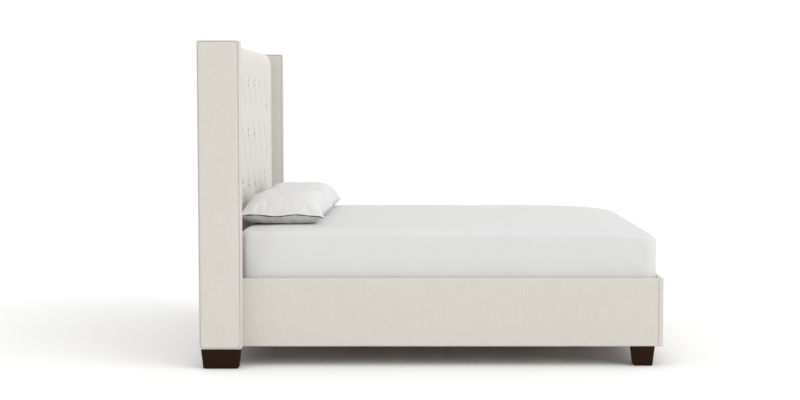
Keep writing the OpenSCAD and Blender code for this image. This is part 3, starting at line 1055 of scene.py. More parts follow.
@dataclass
class TuftedPad:
    """The deep-buttoned pad on the headboard's front, whose cloth wraps over the top."""

    palette: Palette
    cell: float = 0.0052
    edge_r: float = 0.042
    seat_r: float = 0.011
    top_r: float = 0.085
    pleat_share: float = 0.44
    top_fade: float = 0.85
    fullness: float = 0.5
    slack: float = 0.55
    gather: float = 0.0016
    fold: float = 0.0022
    side_depth: float = 0.004
    side_round: float = 0.004
    sweeps: int = 420
    over: float = 1.93
    ring_r: float = 0.026
    ring_w: float = 0.016
    fold_at: float = 0.006
    # Width of the painted crease shade along each pleat.
    pleat_shade_w: float = 0.004

    def __post_init__(self) -> None:
        """Reads the pad's box and its buttons' places from the frame."""
        self.low, self.high = box_of("headboard_tufting")
        self.board_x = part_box("headboard_board")[1].x
        self.frame_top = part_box("headboard_board")[1].z
        self.seats = button_places()
        self.sink = self.high.x - min(p.x for p in self.seats)
        rows = sorted({round(p.z, 3) for p in self.seats})
        self.top_row, self.bottom_row = rows[-1], rows[0]
        self.row_step = rows[1] - rows[0]
        level = sorted(p.y for p in self.seats if round(p.z, 3) == self.top_row)
        self.half_w = (level[1] - level[0]) / 2

    def pleats(self) -> list[tuple[np.ndarray, np.ndarray]]:
        """The pleats: from each button to its diagonal neighbours, and out to the pad's edges.

        Returns:
            Both ends of each pleat, as its place across and up and its depth there.
        """
        seats = [np.array((p.y, p.z, self.high.x - p.x)) for p in self.seats]
        lines = []
        for seat in seats:
            for other in seats:
                apart = other - seat
                if apart[1] > 0 and abs(abs(apart[0]) - self.half_w) < 0.01:
                    if abs(apart[1] - self.row_step) < 0.01:
                        lines.append((seat, other))
            if seat[1] > self.top_row - 0.01:
                lines.append((seat, np.array((seat[0], self.high.z + 0.05, seat[2]))))
            if seat[1] < self.bottom_row + 0.01:
                lines.append((seat, np.array((seat[0], self.low.z - 0.05, seat[2]))))
        return lines

    def measure(self, flat: np.ndarray) -> tuple[np.ndarray, ...]:
        """How far each point lies from the pleats and the buttons.

        Args:
            flat: Rows of places on the panel's face, across and up.

        Returns:
            The signed distance to the nearest pleat, its distance without a sign, the pleat's
            depth there, the distance to the nearest button and that button's depth.
        """
        near = np.full(len(flat), 9.0)
        signed = np.zeros(len(flat))
        line = np.zeros(len(flat))
        for start, end in self.pleats():
            way = end[:2] - start[:2]
            share = np.clip(((flat - start[:2]) @ way) / (way @ way), 0, 1)
            apart = flat - start[:2] - share[:, None] * way
            gap = np.hypot(apart[:, 0], apart[:, 1])
            closer = gap < near
            near[closer] = gap[closer]
            signed[closer] = np.copysign(gap, apart[:, 1] + 0.3 * apart[:, 0])[closer]
            line[closer] = (start[2] + (end[2] - start[2]) * share)[closer]
        button = np.full(len(flat), 9.0)
        seat_depth = np.zeros(len(flat))
        for seat in self.seats:
            gap = np.hypot(flat[:, 0] - seat.y, flat[:, 1] - seat.z)
            closer = gap < button
            button[closer] = gap[closer]
            seat_depth[closer] = self.high.x - seat.x
        return signed, near, line, button, seat_depth

    def relax(self, held: np.ndarray, value: np.ndarray, load: float) -> np.ndarray:
        """Settles a stretched membrane whose held points have given heights.

        Args:
            held: True where the membrane is held.
            value: Its height there.
            load: What pushes each free point.

        Returns:
            The height everywhere.
        """
        height = value.copy()
        rows, columns = np.indices(height.shape)
        free = ~held
        free[0, :] = free[-1, :] = free[:, 0] = free[:, -1] = False
        colours = [free & ((rows + columns) % 2 == parity) for parity in (0, 1)]
        for _ in range(self.sweeps):
            for mask in colours:
                around = np.zeros_like(height)
                around[1:-1, 1:-1] = (height[:-2, 1:-1] + height[2:, 1:-1]
                                      + height[1:-1, :-2] + height[1:-1, 2:]) / 4 + load
                height[mask] += self.over * (around[mask] - height[mask])
        return height

    def depths(self, across: np.ndarray, up: np.ndarray) -> tuple[np.ndarray, np.ndarray]:
        """How deep the cloth lies below the crowns, and where shade is painted into its creases.

        Args:
            across: Places of the grid's columns.
            up: Places of its rows on the panel's face.

        Returns:
            The depth and the mask of painted crease shade, a row for each row of the grid.
        """
        grid = np.stack(np.meshgrid(across, up), axis=-1)
        shape = grid.shape[:2]
        flat = grid.reshape(-1, 2)
        signed, near, line, button, seat_depth = (
            part.reshape(shape) for part in self.measure(flat))
        rise = np.clip((grid[..., 1] - self.top_row) / (self.high.z - self.top_row), 0, 1)
        fade = 1 - self.top_fade * rise
        along = self.pleat_share + (1 - self.pleat_share) * np.exp(-button / 0.03)
        line = line * along * fade
        line = np.where(button < self.seat_r, seat_depth, line)
        on_pleat = near < self.cell * 0.72
        held = on_pleat | (button < self.seat_r)
        edge = np.zeros(shape, bool)
        edge[0, :] = edge[-1, :] = edge[:, 0] = edge[:, -1] = True
        base = self.relax(held | edge, np.where(held & ~edge, line, self.side_depth * edge), 0.0)
        puff = self.relax(held, np.zeros(shape), 1.0)
        tight = self.fullness + self.slack * (1 - np.exp(-button / 0.06))
        puff = np.clip(puff / np.percentile(puff, 99.7), 0, 1) ** tight
        depth = base * (1 - puff)
        around = np.arctan2(grid[..., 1], grid[..., 0])
        for seat in self.seats:
            apart = grid - np.array((seat.y, seat.z))
            gap = np.hypot(apart[..., 0], apart[..., 1])
            close = gap < 0.09
            around[close] = np.arctan2(apart[..., 1], apart[..., 0])[close]
        ring = np.exp(-(((button - self.ring_r) / self.ring_w) ** 2))
        uneven = 0.65 + 0.35 * ripple(np.c_[flat, np.zeros(len(flat))], 0.06, 5).reshape(shape)
        depth += self.gather * ring * np.cos(12 * around + 1.1) * uneven
        lip = np.exp(-(((signed - self.fold_at) / self.fold_at) ** 2))
        lip *= np.clip(button / 0.03, 0, 1)
        depth -= self.fold * lip * fade
        side = np.clip((self.high.y - np.abs(grid[..., 0])) / 0.05, 0, 1)
        depth = side * depth + (1 - side) * np.minimum(depth, self.side_depth)
        depth += self.side_round * (1 - np.clip(side * 4, 0, 1)) ** 2
        # Painted shade: the crease mask darkens the cloth along the pleats below the top row, most near
        # the shallower buttons, and in rings round the buttons, where shade falls in the folds.
        shallow = np.full(shape, 9.0)
        for seat in self.seats:
            if self.high.x - seat.x < self.sink - 0.004:
                apart = np.hypot(grid[..., 0] - seat.y, grid[..., 1] - seat.z)
                shallow = np.minimum(shallow, apart)
        sharp = 0.06 + 0.55 * np.exp(-((shallow / 0.07) ** 2))
        below = np.clip((self.top_row + 0.012 - grid[..., 1]) / 0.012, 0, 1)
        crease_shade = np.exp(-((near / self.pleat_shade_w) ** 2)) * sharp * below
        crease_shade = np.maximum(crease_shade, np.exp(-(((shallow - 0.0155) / 0.007) ** 2)))
        crease_shade = np.maximum(crease_shade, 0.4 * np.exp(-(((button - 0.0135) / 0.005) ** 2)))
        return depth, crease_shade

    def straight(self, start: Sequence[float], end: Sequence[float], normal: Sequence[float],
                 step: float) -> list[tuple[float, ...]]:
        """Points along a straight part of the section, without the last one.

        Args:
            start: Where it starts, along the bed and up.
            end: Where it ends.
            normal: Its outward normal.
            step: Usual distance between two points.

        Returns:
            For each point its place and its normal.
        """
        count = max(1, round(math.dist(start, end) / step))
        return [(start[0] + (end[0] - start[0]) * i / count,
                 start[1] + (end[1] - start[1]) * i / count, *normal) for i in range(count)]

    def turn(self, x: float, z: float, tall: float, first: float,
             last: float) -> list[tuple[float, ...]]:
        """Points round an elliptic corner of the section, without the last one.

        Args:
            x: The middle of the corner along the bed.
            z: Its height.
            tall: Its radius in height.
            first: Angle where it starts.
            last: Angle where it ends.

        Returns:
            For each point its place and its normal.
        """
        count = max(3, round(max(self.edge_r, tall) * abs(last - first) / self.cell))
        rows = []
        for i in range(count):
            t = first + (last - first) * i / count
            way = Vector((math.cos(t) / self.edge_r, math.sin(t) / tall)).normalized()
            rows.append((x + self.edge_r * math.cos(t), z + tall * math.sin(t), way.x, way.y))
        return rows

    def outline(self) -> np.ndarray:
        """The pad's closed upright section, from its lower back edge round the front.

        Returns:
            For each point its place along the bed, its height and its normal there.
        """
        front, bottom, top = self.high.x, self.low.z, self.high.z
        r, tall = self.edge_r, self.top_r
        rows = self.straight((self.board_x, bottom), (front - r, bottom), (0, -1), 0.012)
        rows += self.turn(front - r, bottom + r, r, -math.pi / 2, 0.0)
        rows += self.straight((front, bottom + r), (front, top - tall), (1, 0), self.cell)
        rows += self.turn(front - r, top - tall, tall, 0.0, math.pi / 2)
        rows += self.straight((front - r, top), (self.low.x, top), (0, 1), 0.009)
        rows += self.straight((self.low.x, top), (self.low.x, self.frame_top), (-1, 0), 0.006)
        rows += self.straight((self.low.x, self.frame_top), (self.board_x, self.frame_top),
                              (0, -1), 0.02)
        rows += self.straight((self.board_x, self.frame_top), (self.board_x, bottom), (-1, 0), 0.05)
        return np.array(rows)

    def build(self) -> bpy.types.Object:
        """Builds the pad.

        Returns:
            The tufted pad.
        """
        section = self.outline()
        span = self.high.y - self.low.y
        columns = round(span / self.cell)
        clear_selection()
        bpy.ops.mesh.primitive_grid_add(x_subdivisions=columns, y_subdivisions=len(section), size=1)
        pad = bpy.context.object
        pad.name = pad.data.name = "tufted_pad"
        across = np.linspace(self.low.y, self.high.y, columns + 1)
        closed = np.vstack([section, section[:1]])
        is_front = closed[:, 2] > 0.02
        arc = np.cumsum(np.r_[0, np.hypot(np.diff(closed[:, 0]), np.diff(closed[:, 1]))])
        over_top = (closed[:, 3] > 0.5) & (closed[:, 0] > self.low.x)
        start = int(np.argmax(is_front))
        stop = int(np.nonzero(over_top)[0][-1]) + 1
        upright = int(np.argmax(closed[:, 2] > 0.9999))
        face = arc[start:stop] - arc[upright] + closed[upright, 1]
        depth = np.zeros((len(closed), columns + 1))
        crease_shade = np.zeros_like(depth)
        depth[start:stop], crease_shade[start:stop] = self.depths(across, face)
        back = np.clip((closed[:, 0] - self.board_x + 0.01) / 0.04, 0, 1)
        depth *= back[:, None]
        crease_shade *= back[:, None]
        points = np.empty((len(closed), columns + 1, 3))
        points[..., 0] = closed[:, 0, None] - closed[:, 2, None] * depth
        points[..., 1] = across[None, :]
        points[..., 2] = closed[:, 1, None] - closed[:, 3, None] * depth
        place_points(pad, points.reshape(-1, 3))
        self.map_cloth(pad, across, arc)
        # Stores the painted crease shade for the tufted linen to darken.
        paint_crease_shade(pad, crease_shade)
        with editing(pad):
            bpy.ops.mesh.remove_doubles(threshold=WELD)
            bpy.ops.mesh.select_mode(type="EDGE")
            bpy.ops.mesh.select_all(action="DESELECT")
            bpy.ops.mesh.select_non_manifold()
            bpy.ops.mesh.fill_holes(sides=0)
            bpy.ops.mesh.select_all(action="SELECT")
            bpy.ops.mesh.normals_make_consistent(inside=False)
        shade(pad, 60)
        dress(pad, self.palette.tufted, "tufted_linen", "bed_frame", "headboard_tufting")
        return pad

    def map_cloth(self, pad: bpy.types.Object, across: np.ndarray, arc: np.ndarray) -> None:
        """Lays the cloth's threads along the pad's rows and columns.

        Args:
            pad: The pad, whose vertices are still in rows.
            across: Places of the columns.
            arc: Places of the rows along the section.
        """
        u, v = np.meshgrid(across, arc)
        flat = np.stack([u.ravel(), v.ravel()], axis=1)
        layer = pad.data.uv_layers[0] if pad.data.uv_layers else pad.data.uv_layers.new()
        corner = np.empty(len(pad.data.loops), np.int32)
        pad.data.loops.foreach_get("vertex_index", corner)
        layer.data.foreach_set("uv", flat[corner].astype(np.float32).ravel())


@dataclass
class Apron:
    """The strip of cloth that covers the headboard's front below the tufted pad."""

    palette: Palette
    thickness: float = 0.0015
    turned_up: float = 0.006
    step: float = 0.04

    def build(self) -> bpy.types.Object:
        """Builds the strip.

        Returns:
            The finished strip.
        """
        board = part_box("headboard_board")[1]
        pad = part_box("headboard_tufting")[0]
        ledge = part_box("headboard_cleat")[1]
        low = Vector((board.x, -board.y, ledge.z))
        high = Vector((board.x + self.thickness, board.y, pad.z + self.turned_up))
        strip = add_block("headboard_apron", low, high)
        with editing(strip):
            pick_edges(strip, lambda edge: True)
            bpy.ops.mesh.bevel(offset=self.thickness * 0.3, segments=2)
        slice_evenly(strip, Axis.Y, self.step)
        slice_evenly(strip, Axis.Z, self.step)
        points = points_of(strip)
        front = points[:, 0] > board.x + self.thickness / 2
        points[:, 0] += front * 0.0006 * (1 + ripple(points, 0.09, 61))
        place_points(strip, points)
        lay_out(strip)
        shade(strip, 50)
        dress(strip, self.palette.linen, "ivory_linen", "bed_frame")
        return strip


@dataclass
class ClothButtons:
    """The cloth-covered buttons that draw the pad in."""

    palette: Palette
    places: list[Vector]
    rim: float = 0.0016

    def build(self) -> bpy.types.Object:
        """Models one button and sets a copy in each seat.

        Returns:
            All the buttons as one piece.
        """
        low, high = box_of("tuft_buttons")
        dome = high.x - low.x
        radius = (high.y - max(p.y for p in self.places))
        clear_selection()
        bpy.ops.mesh.primitive_uv_sphere_add(segments=20, ring_count=12, radius=radius,
                                             rotation=(0, math.pi / 2, 0))
        button = bpy.context.object
        button.name = button.data.name = "cloth_buttons"
        button.scale = (dome / radius, 1, 1)
        settle(button)
        with editing(button):
            bpy.ops.mesh.bisect(plane_co=(dome * 0.12, 0, 0), plane_no=(1, 0, 0), clear_inner=True,
                                use_fill=True)
            pick_faces(button, facing(Vector((-1, 0, 0))))
            bpy.ops.mesh.inset(thickness=self.rim, depth=-self.rim)
            bpy.ops.mesh.extrude_region_move(
                TRANSFORM_OT_translate={"value": (-dome * 0.3, 0, 0)})
        points = points_of(button)
        angle = np.arctan2(points[:, 2], points[:, 1])
        outer = np.clip(np.hypot(points[:, 1], points[:, 2]) / radius, 0, 1) ** 3
        tuck = 0.0005 * outer * np.cos(10 * angle)
        points[:, 0] += tuck
        place_points(button, points)
        lay_out(button)
        copies = []
        for i, place in enumerate(self.places):
            copy = copy_of(button)
            copy.location = place
            copy.rotation_euler = (i * 2.4, 0, 0)
            settle(copy)
            copies.append(copy)
        clear_selection()
        for copy in copies:
            copy.select_set(True)
        bpy.context.view_layer.objects.active = copies[0]
        bpy.ops.object.join()
        bpy.data.objects.remove(button)
        joined = bpy.context.object
        joined.name = joined.data.name = "cloth_buttons"
        shade(joined, 50)
        dress(joined, self.palette.tufted, "tufted_linen", "bed_frame", "tuft_buttons")
        return joined


# ---- covered boards ----


@dataclass
class CoveredBoard:
    """A board wrapped in wadding and cloth, with a seam round one or two of its faces."""

    name: str
    nodes: tuple[str, ...]
    palette: Palette
    edge_r: float = 0.008
    step: float = 0.03
    seam_inset: float = 0.004
    seam_w: float = 0.005
    seam_d: float = 0.0035
    crown: float = 0.0015
    unevenness: float = 0.0005
    seamed: tuple[tuple[float, float, float], ...] = ()
    opened: tuple[tuple[float, float, float], ...] = ()
    lip: float = 0.006
    mouth: float = 0.012
    hem: float = 0.002
    seed: int = 1

    def build(self) -> bpy.types.Object:
        """Builds the cover.

        Returns:
            The finished cover.
        """
        low, high = box_of(*self.nodes)
        cover = add_block(self.name, low, high)
        with editing(cover):
            pick_edges(cover, lambda edge: not self.is_cut_edge(edge))
            bpy.ops.mesh.bevel(offset=self.edge_r, segments=3, profile=0.5)
            for way in self.seamed:
                self.sew(cover, Vector(way))
            for way in self.opened:
                pick_faces(cover, facing(Vector(way)))
                bpy.ops.mesh.inset(thickness=self.lip)
                bpy.ops.mesh.extrude_region_move(
                    TRANSFORM_OT_translate={"value": Vector(way) * -self.mouth})
                brink = high if sum(way) > 0 else low
                bpy.ops.mesh.select_all(action="SELECT")
                bpy.ops.mesh.bisect(plane_co=brink - Vector(way) * self.hem, plane_no=way)
        for axis in Axis:
            if high[axis.value] - low[axis.value] > 2 * self.step:
                slice_evenly(cover, axis, self.step)
        self.fill_out(cover, low, high)
        # Painted shade along the bottom of each seam.
        self.mark_seams(cover, low, high)
        smooth_out(cover)
        shade(cover, 50)
        lay_out(cover)
        dress(cover, self.palette.linen, "ivory_linen", "bed_frame", *self.nodes)
        return cover

    def is_cut_edge(self, edge: bmesh.types.BMEdge) -> bool:
        """Whether an edge lies round an open face, where the cloth is turned in and not rounded.

        Args:
            edge: An edge of the cover.

        Returns:
            True at an open face.
        """
        return any(face.normal.dot(Vector(way)) > 0.9 for face in edge.link_faces
                   for way in self.opened)

    def sew(self, cover: bpy.types.Object, way: Vector) -> None:
        """Sinks a seam just inside the edge of the face that looks a way.

        Args:
            cover: The cover, in edit mode.
            way: The face's outward normal.
        """
        pick_faces(cover, facing(way, 0.99))
        bpy.ops.mesh.inset(thickness=self.seam_inset)
        bpy.ops.mesh.inset(thickness=self.seam_w / 2, depth=-self.seam_d)
        bpy.ops.mesh.inset(thickness=self.seam_w / 2, depth=self.seam_d)
        bpy.ops.mesh.inset(thickness=self.seam_w)

    def mark_seams(self, cover: bpy.types.Object, low: Vector, high: Vector) -> None:
        """Marks the bottom of each seam, where painted shade darkens the linen.

        Args:
            cover: The sliced cover.
            low: Its lowest corner.
            high: Its highest corner.
        """
        points = points_of(cover)
        mask = np.zeros(len(points))
        seam_at = self.edge_r + self.seam_inset + self.seam_w / 2
        inside = np.minimum(points - np.array(low), np.array(high) - points)
        for way in self.seamed:
            across = int(np.argmax(np.abs(way)))
            brink = high[across] if sum(way) > 0 else low[across]
            near = np.abs(points[:, across] - brink) < self.seam_d + self.crown + 0.002
            edge = np.min(np.delete(inside, across, axis=1), axis=1)
            sewn = np.exp(-(((edge - seam_at) / (0.4 * self.seam_w)) ** 2))
            mask = np.maximum(mask, sewn * near)
        paint_crease_shade(cover, mask)

    def fill_out(self, cover: bpy.types.Object, low: Vector, high: Vector) -> None:
        """Crowns the broad faces a little and gives the cloth its unevenness.

        Args:
            cover: The sliced cover.
            low: Its lowest corner.
            high: Its highest corner.
        """
        points = points_of(cover)
        normals = normals_of(cover)
        middle, half = middle_and_half(low, high)
        share = np.clip(np.abs(points - middle) / half, 0, 1)
        away = 1 - share ** 6
        swell = np.prod(np.where(np.abs(normals) < 0.5, away, 1.0), axis=1)
        flat = np.max(np.abs(normals), axis=1) > 0.95
        uneven = ripple(points, 0.11, self.seed) + 0.5 * ripple(points, 0.04, self.seed + 1)
        move = (self.crown * swell + self.unevenness * uneven * swell) * flat
        place_points(cover, points + normals * move[:, None])


# ---- mattress, sheet and pillows ----


@dataclass
class Bedding:
    """The mattress in its fitted sheet."""

    palette: Palette
    edge_r: float = 0.042
    corner_r: float = 0.055
    corner_segments: int = 6
    step: float = 0.04
    foot_drop: float = 0.038
    head_drop: float = 0.010
    side_drop: float = 0.010
    sheet_gap: float = 0.005
    tuck: float = 0.07
    sheet_drop: float = 0.36
    sheet_t: float = 0.0012
    side_swell: float = 0.004
    pull: float = 0.0014
    pull_reach: float = 0.22
    slack: float = 0.0006
    gather_h: float = 0.09

    def form(self, name: str, inset: float) -> bpy.types.Object:
        """A mattress-shaped block with rounded corners and edges.

        Args:
            name: Name of the new piece.
            inset: How far inside the sheet's box it stays.

        Returns:
            The new piece.
        """
        low, high = box_of("mattress", "fitted_sheet")
        mattress_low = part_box("mattress")[0]
        edge = Vector((inset, inset, inset))
        block = add_block(name, Vector((low.x, low.y, mattress_low.z)) + edge, high - edge)
        with editing(block):
            pick_edges(block, lambda e: abs((e.verts[0].co - e.verts[1].co).normalized().z) > ALONG_AXIS)
            bpy.ops.mesh.bevel(offset=self.corner_r - inset, segments=self.corner_segments)
            pick_edges(block, lambda e: self.is_rim(e))
            bpy.ops.mesh.bevel(offset=self.edge_r - inset, segments=5)
        for axis in Axis:
            slice_evenly(block, axis, self.step)
        smooth_out(block)
        self.crown_top(block, low, high)
        return block

    def is_rim(self, edge: bmesh.types.BMEdge) -> bool:
        """Whether an edge is between the top or bottom and a side.

        Args:
            edge: An edge of the block.

        Returns:
            True on the upper and lower rims.
        """
        ways = [abs(face.normal.z) for face in edge.link_faces]
        return max(ways) > 0.9 and min(ways) < 0.1

    def crown_top(self, block: bpy.types.Object, low: Vector, high: Vector) -> None:
        """Lets the top fall away towards its edges and swells the sides a little.

        Args:
            block: The sliced block.
            low: Lowest corner of the bedding.
            high: Highest corner of the bedding.
        """
        points = points_of(block)
        middle, half = middle_and_half(low, high)
        share = np.clip(np.abs(points - middle) / half, 0, 1)
        up = np.clip((points[:, 2] - middle[2]) / half[2], 0, 1)
        end_drop = np.where(points[:, 0] > middle[0], self.foot_drop, self.head_drop)
        drop = end_drop * share[:, 0] ** 6 + self.side_drop * share[:, 1] ** 8
        points[:, 2] -= up ** 3 * drop
        for i in range(2):
            side = share[:, i] ** 12 * (1 - share[:, 2] ** 2) * self.side_swell
            points[:, i] += np.sign(points[:, i] - middle[i]) * side
        place_points(block, points)

    def build(self) -> list[bpy.types.Object]:
        """Builds the mattress and its sheet.

        Returns:
            Both pieces.
        """
        mattress = self.form("quilted_mattress", self.sheet_gap)
        lay_out(mattress)
        shade(mattress, 50)
        dress(mattress, self.palette.ticking, "mattress_ticking", "mattress_body", "mattress")
        return [mattress, self.build_sheet()]

    def build_sheet(self) -> bpy.types.Object:
        """Builds the fitted sheet, open underneath, with its elastic edge turned under.

        Returns:
            The sheet.
        """
        sheet = self.form("cotton_sheet", 0.0)
        low, high = box_of("mattress", "fitted_sheet")
        tuck = Vector((1, 1, 0)) * self.tuck
        inner_low, inner_high = low + tuck, high - tuck
        with editing(sheet):
            pick_faces(sheet, lambda face: face.normal.z < -0.7 and all(
                inner_low[i] < face.calc_center_median()[i] < inner_high[i] for i in range(2)))
            bpy.ops.mesh.delete(type="FACE")
        self.wrinkle(sheet, low, high)
        run_modifier(sheet, "SOLIDIFY", thickness=self.sheet_t, offset=-1)
        lay_out(sheet)
        shade(sheet, 60)
        # The sheet takes the darker copy of the white cotton, whose darkness is painted shade.
        dress(sheet, self.palette.shaded_sheeting, "white_cotton", "mattress_body", "fitted_sheet")
        return sheet

    def wrinkle(self, sheet: bpy.types.Object, low: Vector, high: Vector) -> None:
        """Adds pulls from the corners, and gathers over the elastic.

        Args:
            sheet: The open sheet.
            low: Lowest corner of the bedding.
            high: Highest corner of the bedding.
        """
        points = points_of(sheet)
        normals = normals_of(sheet)
        middle, half = middle_and_half(low, high)
        corner = np.hypot(half[0] - np.abs(points[:, 0] - middle[0]),
                          half[1] - np.abs(points[:, 1] - middle[1]))
        near = np.exp(-((corner / self.pull_reach) ** 2))
        slant = (np.abs(points[:, 0] - middle[0]) + np.abs(points[:, 1] - middle[1])) * 26
        pulls = np.sin(slant * 2 + points[:, 2] * 34 + 1.3 * ripple(points, 0.3, 21))
        height = np.clip((points[:, 2] - low[2]) / self.gather_h, 0, 1)
        gathers = np.sin((points[:, 0] + points[:, 1]) * 150 + 2 * ripple(points, 0.2, 23))
        soft = ripple(points, 0.35, 22)
        move = (self.pull * near * (pulls + 0.5) + self.slack * soft
                + self.pull * (1 - height) * gathers * (points[:, 2] < low[2] + self.gather_h))
        place_points(sheet, points + normals * move[:, None])


@dataclass
class Pillow:
    """A filled pillow in its open-ended case."""

    side: str
    palette: Palette
    step: float = 0.0125
    seam_h: float = 0.043
    mouth: float = 0.045
    gape: float = 0.0035
    pinch: float = 0.010
    frames: int = 14
    pressure: float = 3.0
    growth: float = 0.02
    most_move: float = 0.009
    curl: float = 0.0
    case_t: float = 0.0012
    fill_gap: float = 0.004
    broad_fold: float = 0.0007
    fine_fold: float = 0.0004
    seam_fold: float = 0.0012
    mouth_wave: float = 0.0045

    def build(self) -> list[bpy.types.Object]:
        """Builds the case and the pillow inside it.

        Returns:
            Both pieces.
        """
        low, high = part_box(f"{self.side}_pillow")
        sign = SIDES[self.side]
        case = self.cut_case(low, high, sign)
        self.shape(case, low, high, sign)
        self.fill_out(case, low, high)
        inner = self.fill_case(case, low, high, sign)
        smooth_out(case)
        self.rumple(case, low, high, sign)
        run_modifier(case, "SOLIDIFY", thickness=self.case_t, offset=-1)
        for piece, name in ((case, "pillow_case"), (inner, "pillow_filling")):
            piece.name = piece.data.name = f"{self.side}_{name}"
            lay_out(piece)
            shade(piece, 70)
        body = f"{self.side}_pillow_body"
        dress(case, self.palette.cotton, "white_cotton", body, f"{self.side}_pillow")
        dress(inner, self.palette.cotton, "white_cotton", body)
        return [case, inner]

    def cut_case(self, low: Vector, high: Vector, sign: int) -> bpy.types.Object:
        """The case as it is sewn: two layers joined on three sides, open at its outer end.

        Args:
            low: Lowest corner of the filled pillow.
            high: Its highest corner.
            sign: 1 for the left side and -1 for the right.

        Returns:
            The flat case.
        """
        seam = Vector((0, 0, low.z + self.seam_h))
        flat_low = Vector((low.x, low.y, 0)) + seam - Vector((0, 0, self.gape))
        flat_high = Vector((high.x, high.y, 0)) + seam + Vector((0, 0, self.gape))
        case = add_block(f"{self.side}_case", flat_low, flat_high)
        with editing(case):
            pick_faces(case, facing(Vector((0, sign, 0))))
            bpy.ops.mesh.delete(type="FACE")
        slice_evenly(case, Axis.X, self.step)
        slice_evenly(case, Axis.Y, self.step)
        return case

    def shape(self, case: bpy.types.Object, low: Vector, high: Vector, sign: int) -> None:
        """Domes both layers, lays the lower one on the bed and pulls the sides in.

        Args:
            case: The flat case.
            low: Lowest corner of the pillow.
            high: Its highest corner.
            sign: 1 for the left side and -1 for the right.
        """
        points = points_of(case)
        middle, half = middle_and_half(low, high)
        share = (points - middle) / half
        along, across = share[:, 0], share[:, 1]
        seam = low.z + self.seam_h
        top = points[:, 2] > seam
        dome = ((1 - np.abs(along) ** 4) * (1 - np.abs(across) ** 3.2)) ** 0.55
        lean = np.clip(np.abs(along - 0.12 * (1 - along ** 2)), 0, 1)
        under = ((1 - lean ** 3.2) * (1 - np.abs(across) ** 7)) ** 0.75
        gap = self.gape * np.clip((across * sign - 0.86) / 0.1, 0.05, 1)
        upper = seam + gap + (high.z - seam - self.gape) * dome
        lower = seam - gap - (seam - gap - low.z) * np.minimum(1, 1.35 * under)
        points[:, 2] = np.where(top, upper, lower)
        pull = self.pinch * (1 - np.abs(across) ** 3) * np.abs(along) ** 3
        points[:, 0] -= np.sign(along) * pull
        shut = across * sign < 0
        pull = self.pinch * (1 - np.abs(along) ** 3) * np.abs(across) ** 3 * shut
        points[:, 1] -= np.sign(across) * pull
        place_points(case, points)

    def fill_out(self, case: bpy.types.Object, low: Vector, high: Vector) -> None:
        """Lets the case swell and slacken as cloth does, but no further than its allowance.

        Args:
            case: The shaped case.
            low: Lowest corner of the pillow.
            high: Its highest corner.
        """
        before = points_of(case)
        group = case.vertex_groups.new(name="sewn")
        group.add(self.rim_points(case), 1.0, "REPLACE")
        simulate(case, self.frames, self.pressure, pinned="sewn", growth=self.growth,
                 tension=12.0, bending=0.15)
        moved = points_of(case) - before
        size = np.maximum(np.linalg.norm(moved, axis=1), 1e-9)
        log.info("%s pillow moved up to %.1f mm", self.side, size.max() * 1000)
        allowed = np.minimum(size, self.most_move) / size
        points = before + moved * allowed[:, None]
        place_points(case, np.clip(points, np.array(low), np.array(high)))

    def rim_points(self, case: bpy.types.Object) -> list[int]:
        """The points that are held: those at the mouth and at the closed end's corners.

        Args:
            case: The shaped case.

        Returns:
            The numbers of the vertices with fewer than four faces round them.
        """
        net = bmesh.new()
        net.from_mesh(case.data)
        held = [vertex.index for vertex in net.verts if len(vertex.link_faces) < 4]
        net.free()
        return held

    def fill_case(self, case: bpy.types.Object, low: Vector, high: Vector,
                  sign: int) -> bpy.types.Object:
        """The pillow inside, which shows a little at the case's mouth.

        Args:
            case: The filled case.
            low: Lowest corner of the pillow.
            high: Its highest corner.
            sign: 1 for the left side and -1 for the right.

        Returns:
            The pillow.
        """
        inner = copy_of(case)
        end = high.y if sign > 0 else low.y
        with editing(inner):
            bpy.ops.mesh.bisect(plane_co=(0, end - sign * self.mouth, 0), plane_no=(0, sign, 0),
                                clear_outer=True, use_fill=True)
            bpy.ops.mesh.select_all(action="SELECT")
            bpy.ops.mesh.normals_make_consistent(inside=False)
            bpy.ops.transform.shrink_fatten(value=-self.fill_gap)
        return inner

    def rumple(self, case: bpy.types.Object, low: Vector, high: Vector, sign: int) -> None:
        """Gives the case the fine slack folds of washed cotton, and its open edge a soft wave.

        Args:
            case: The filled case.
            low: Lowest corner of the pillow.
            high: Its highest corner.
            sign: 1 for the left side and -1 for the right.
        """
        points = points_of(case)
        normals = normals_of(case)
        middle, half = middle_and_half(low, high)
        along, across = ((points - middle) / half)[:, :2].T
        seed = 40 + sign
        sewn = np.abs(along) ** 8 + np.abs(across) ** 8
        move = (self.broad_fold * ripple(points, 0.12, seed)
                + self.fine_fold * ripple(points, 0.045, seed + 5)
                + self.seam_fold * sewn * ripple(points * (1, 1, 0.2), 0.05, seed + 9))
        points = points + normals * move[:, None]
        near = np.clip((across * sign - 0.9) / 0.1, 0, 1)
        wave = self.mouth_wave * np.sin(along * 6.2 - 0.7)
        wave += self.curl * np.clip(along - 0.9, 0, 1) / 0.1
        points[:, 2] += near ** 2 * wave
        points[:, 2] = np.clip(points[:, 2], low.z, high.z)
        place_points(case, points)


# ---- legs and timbers ----


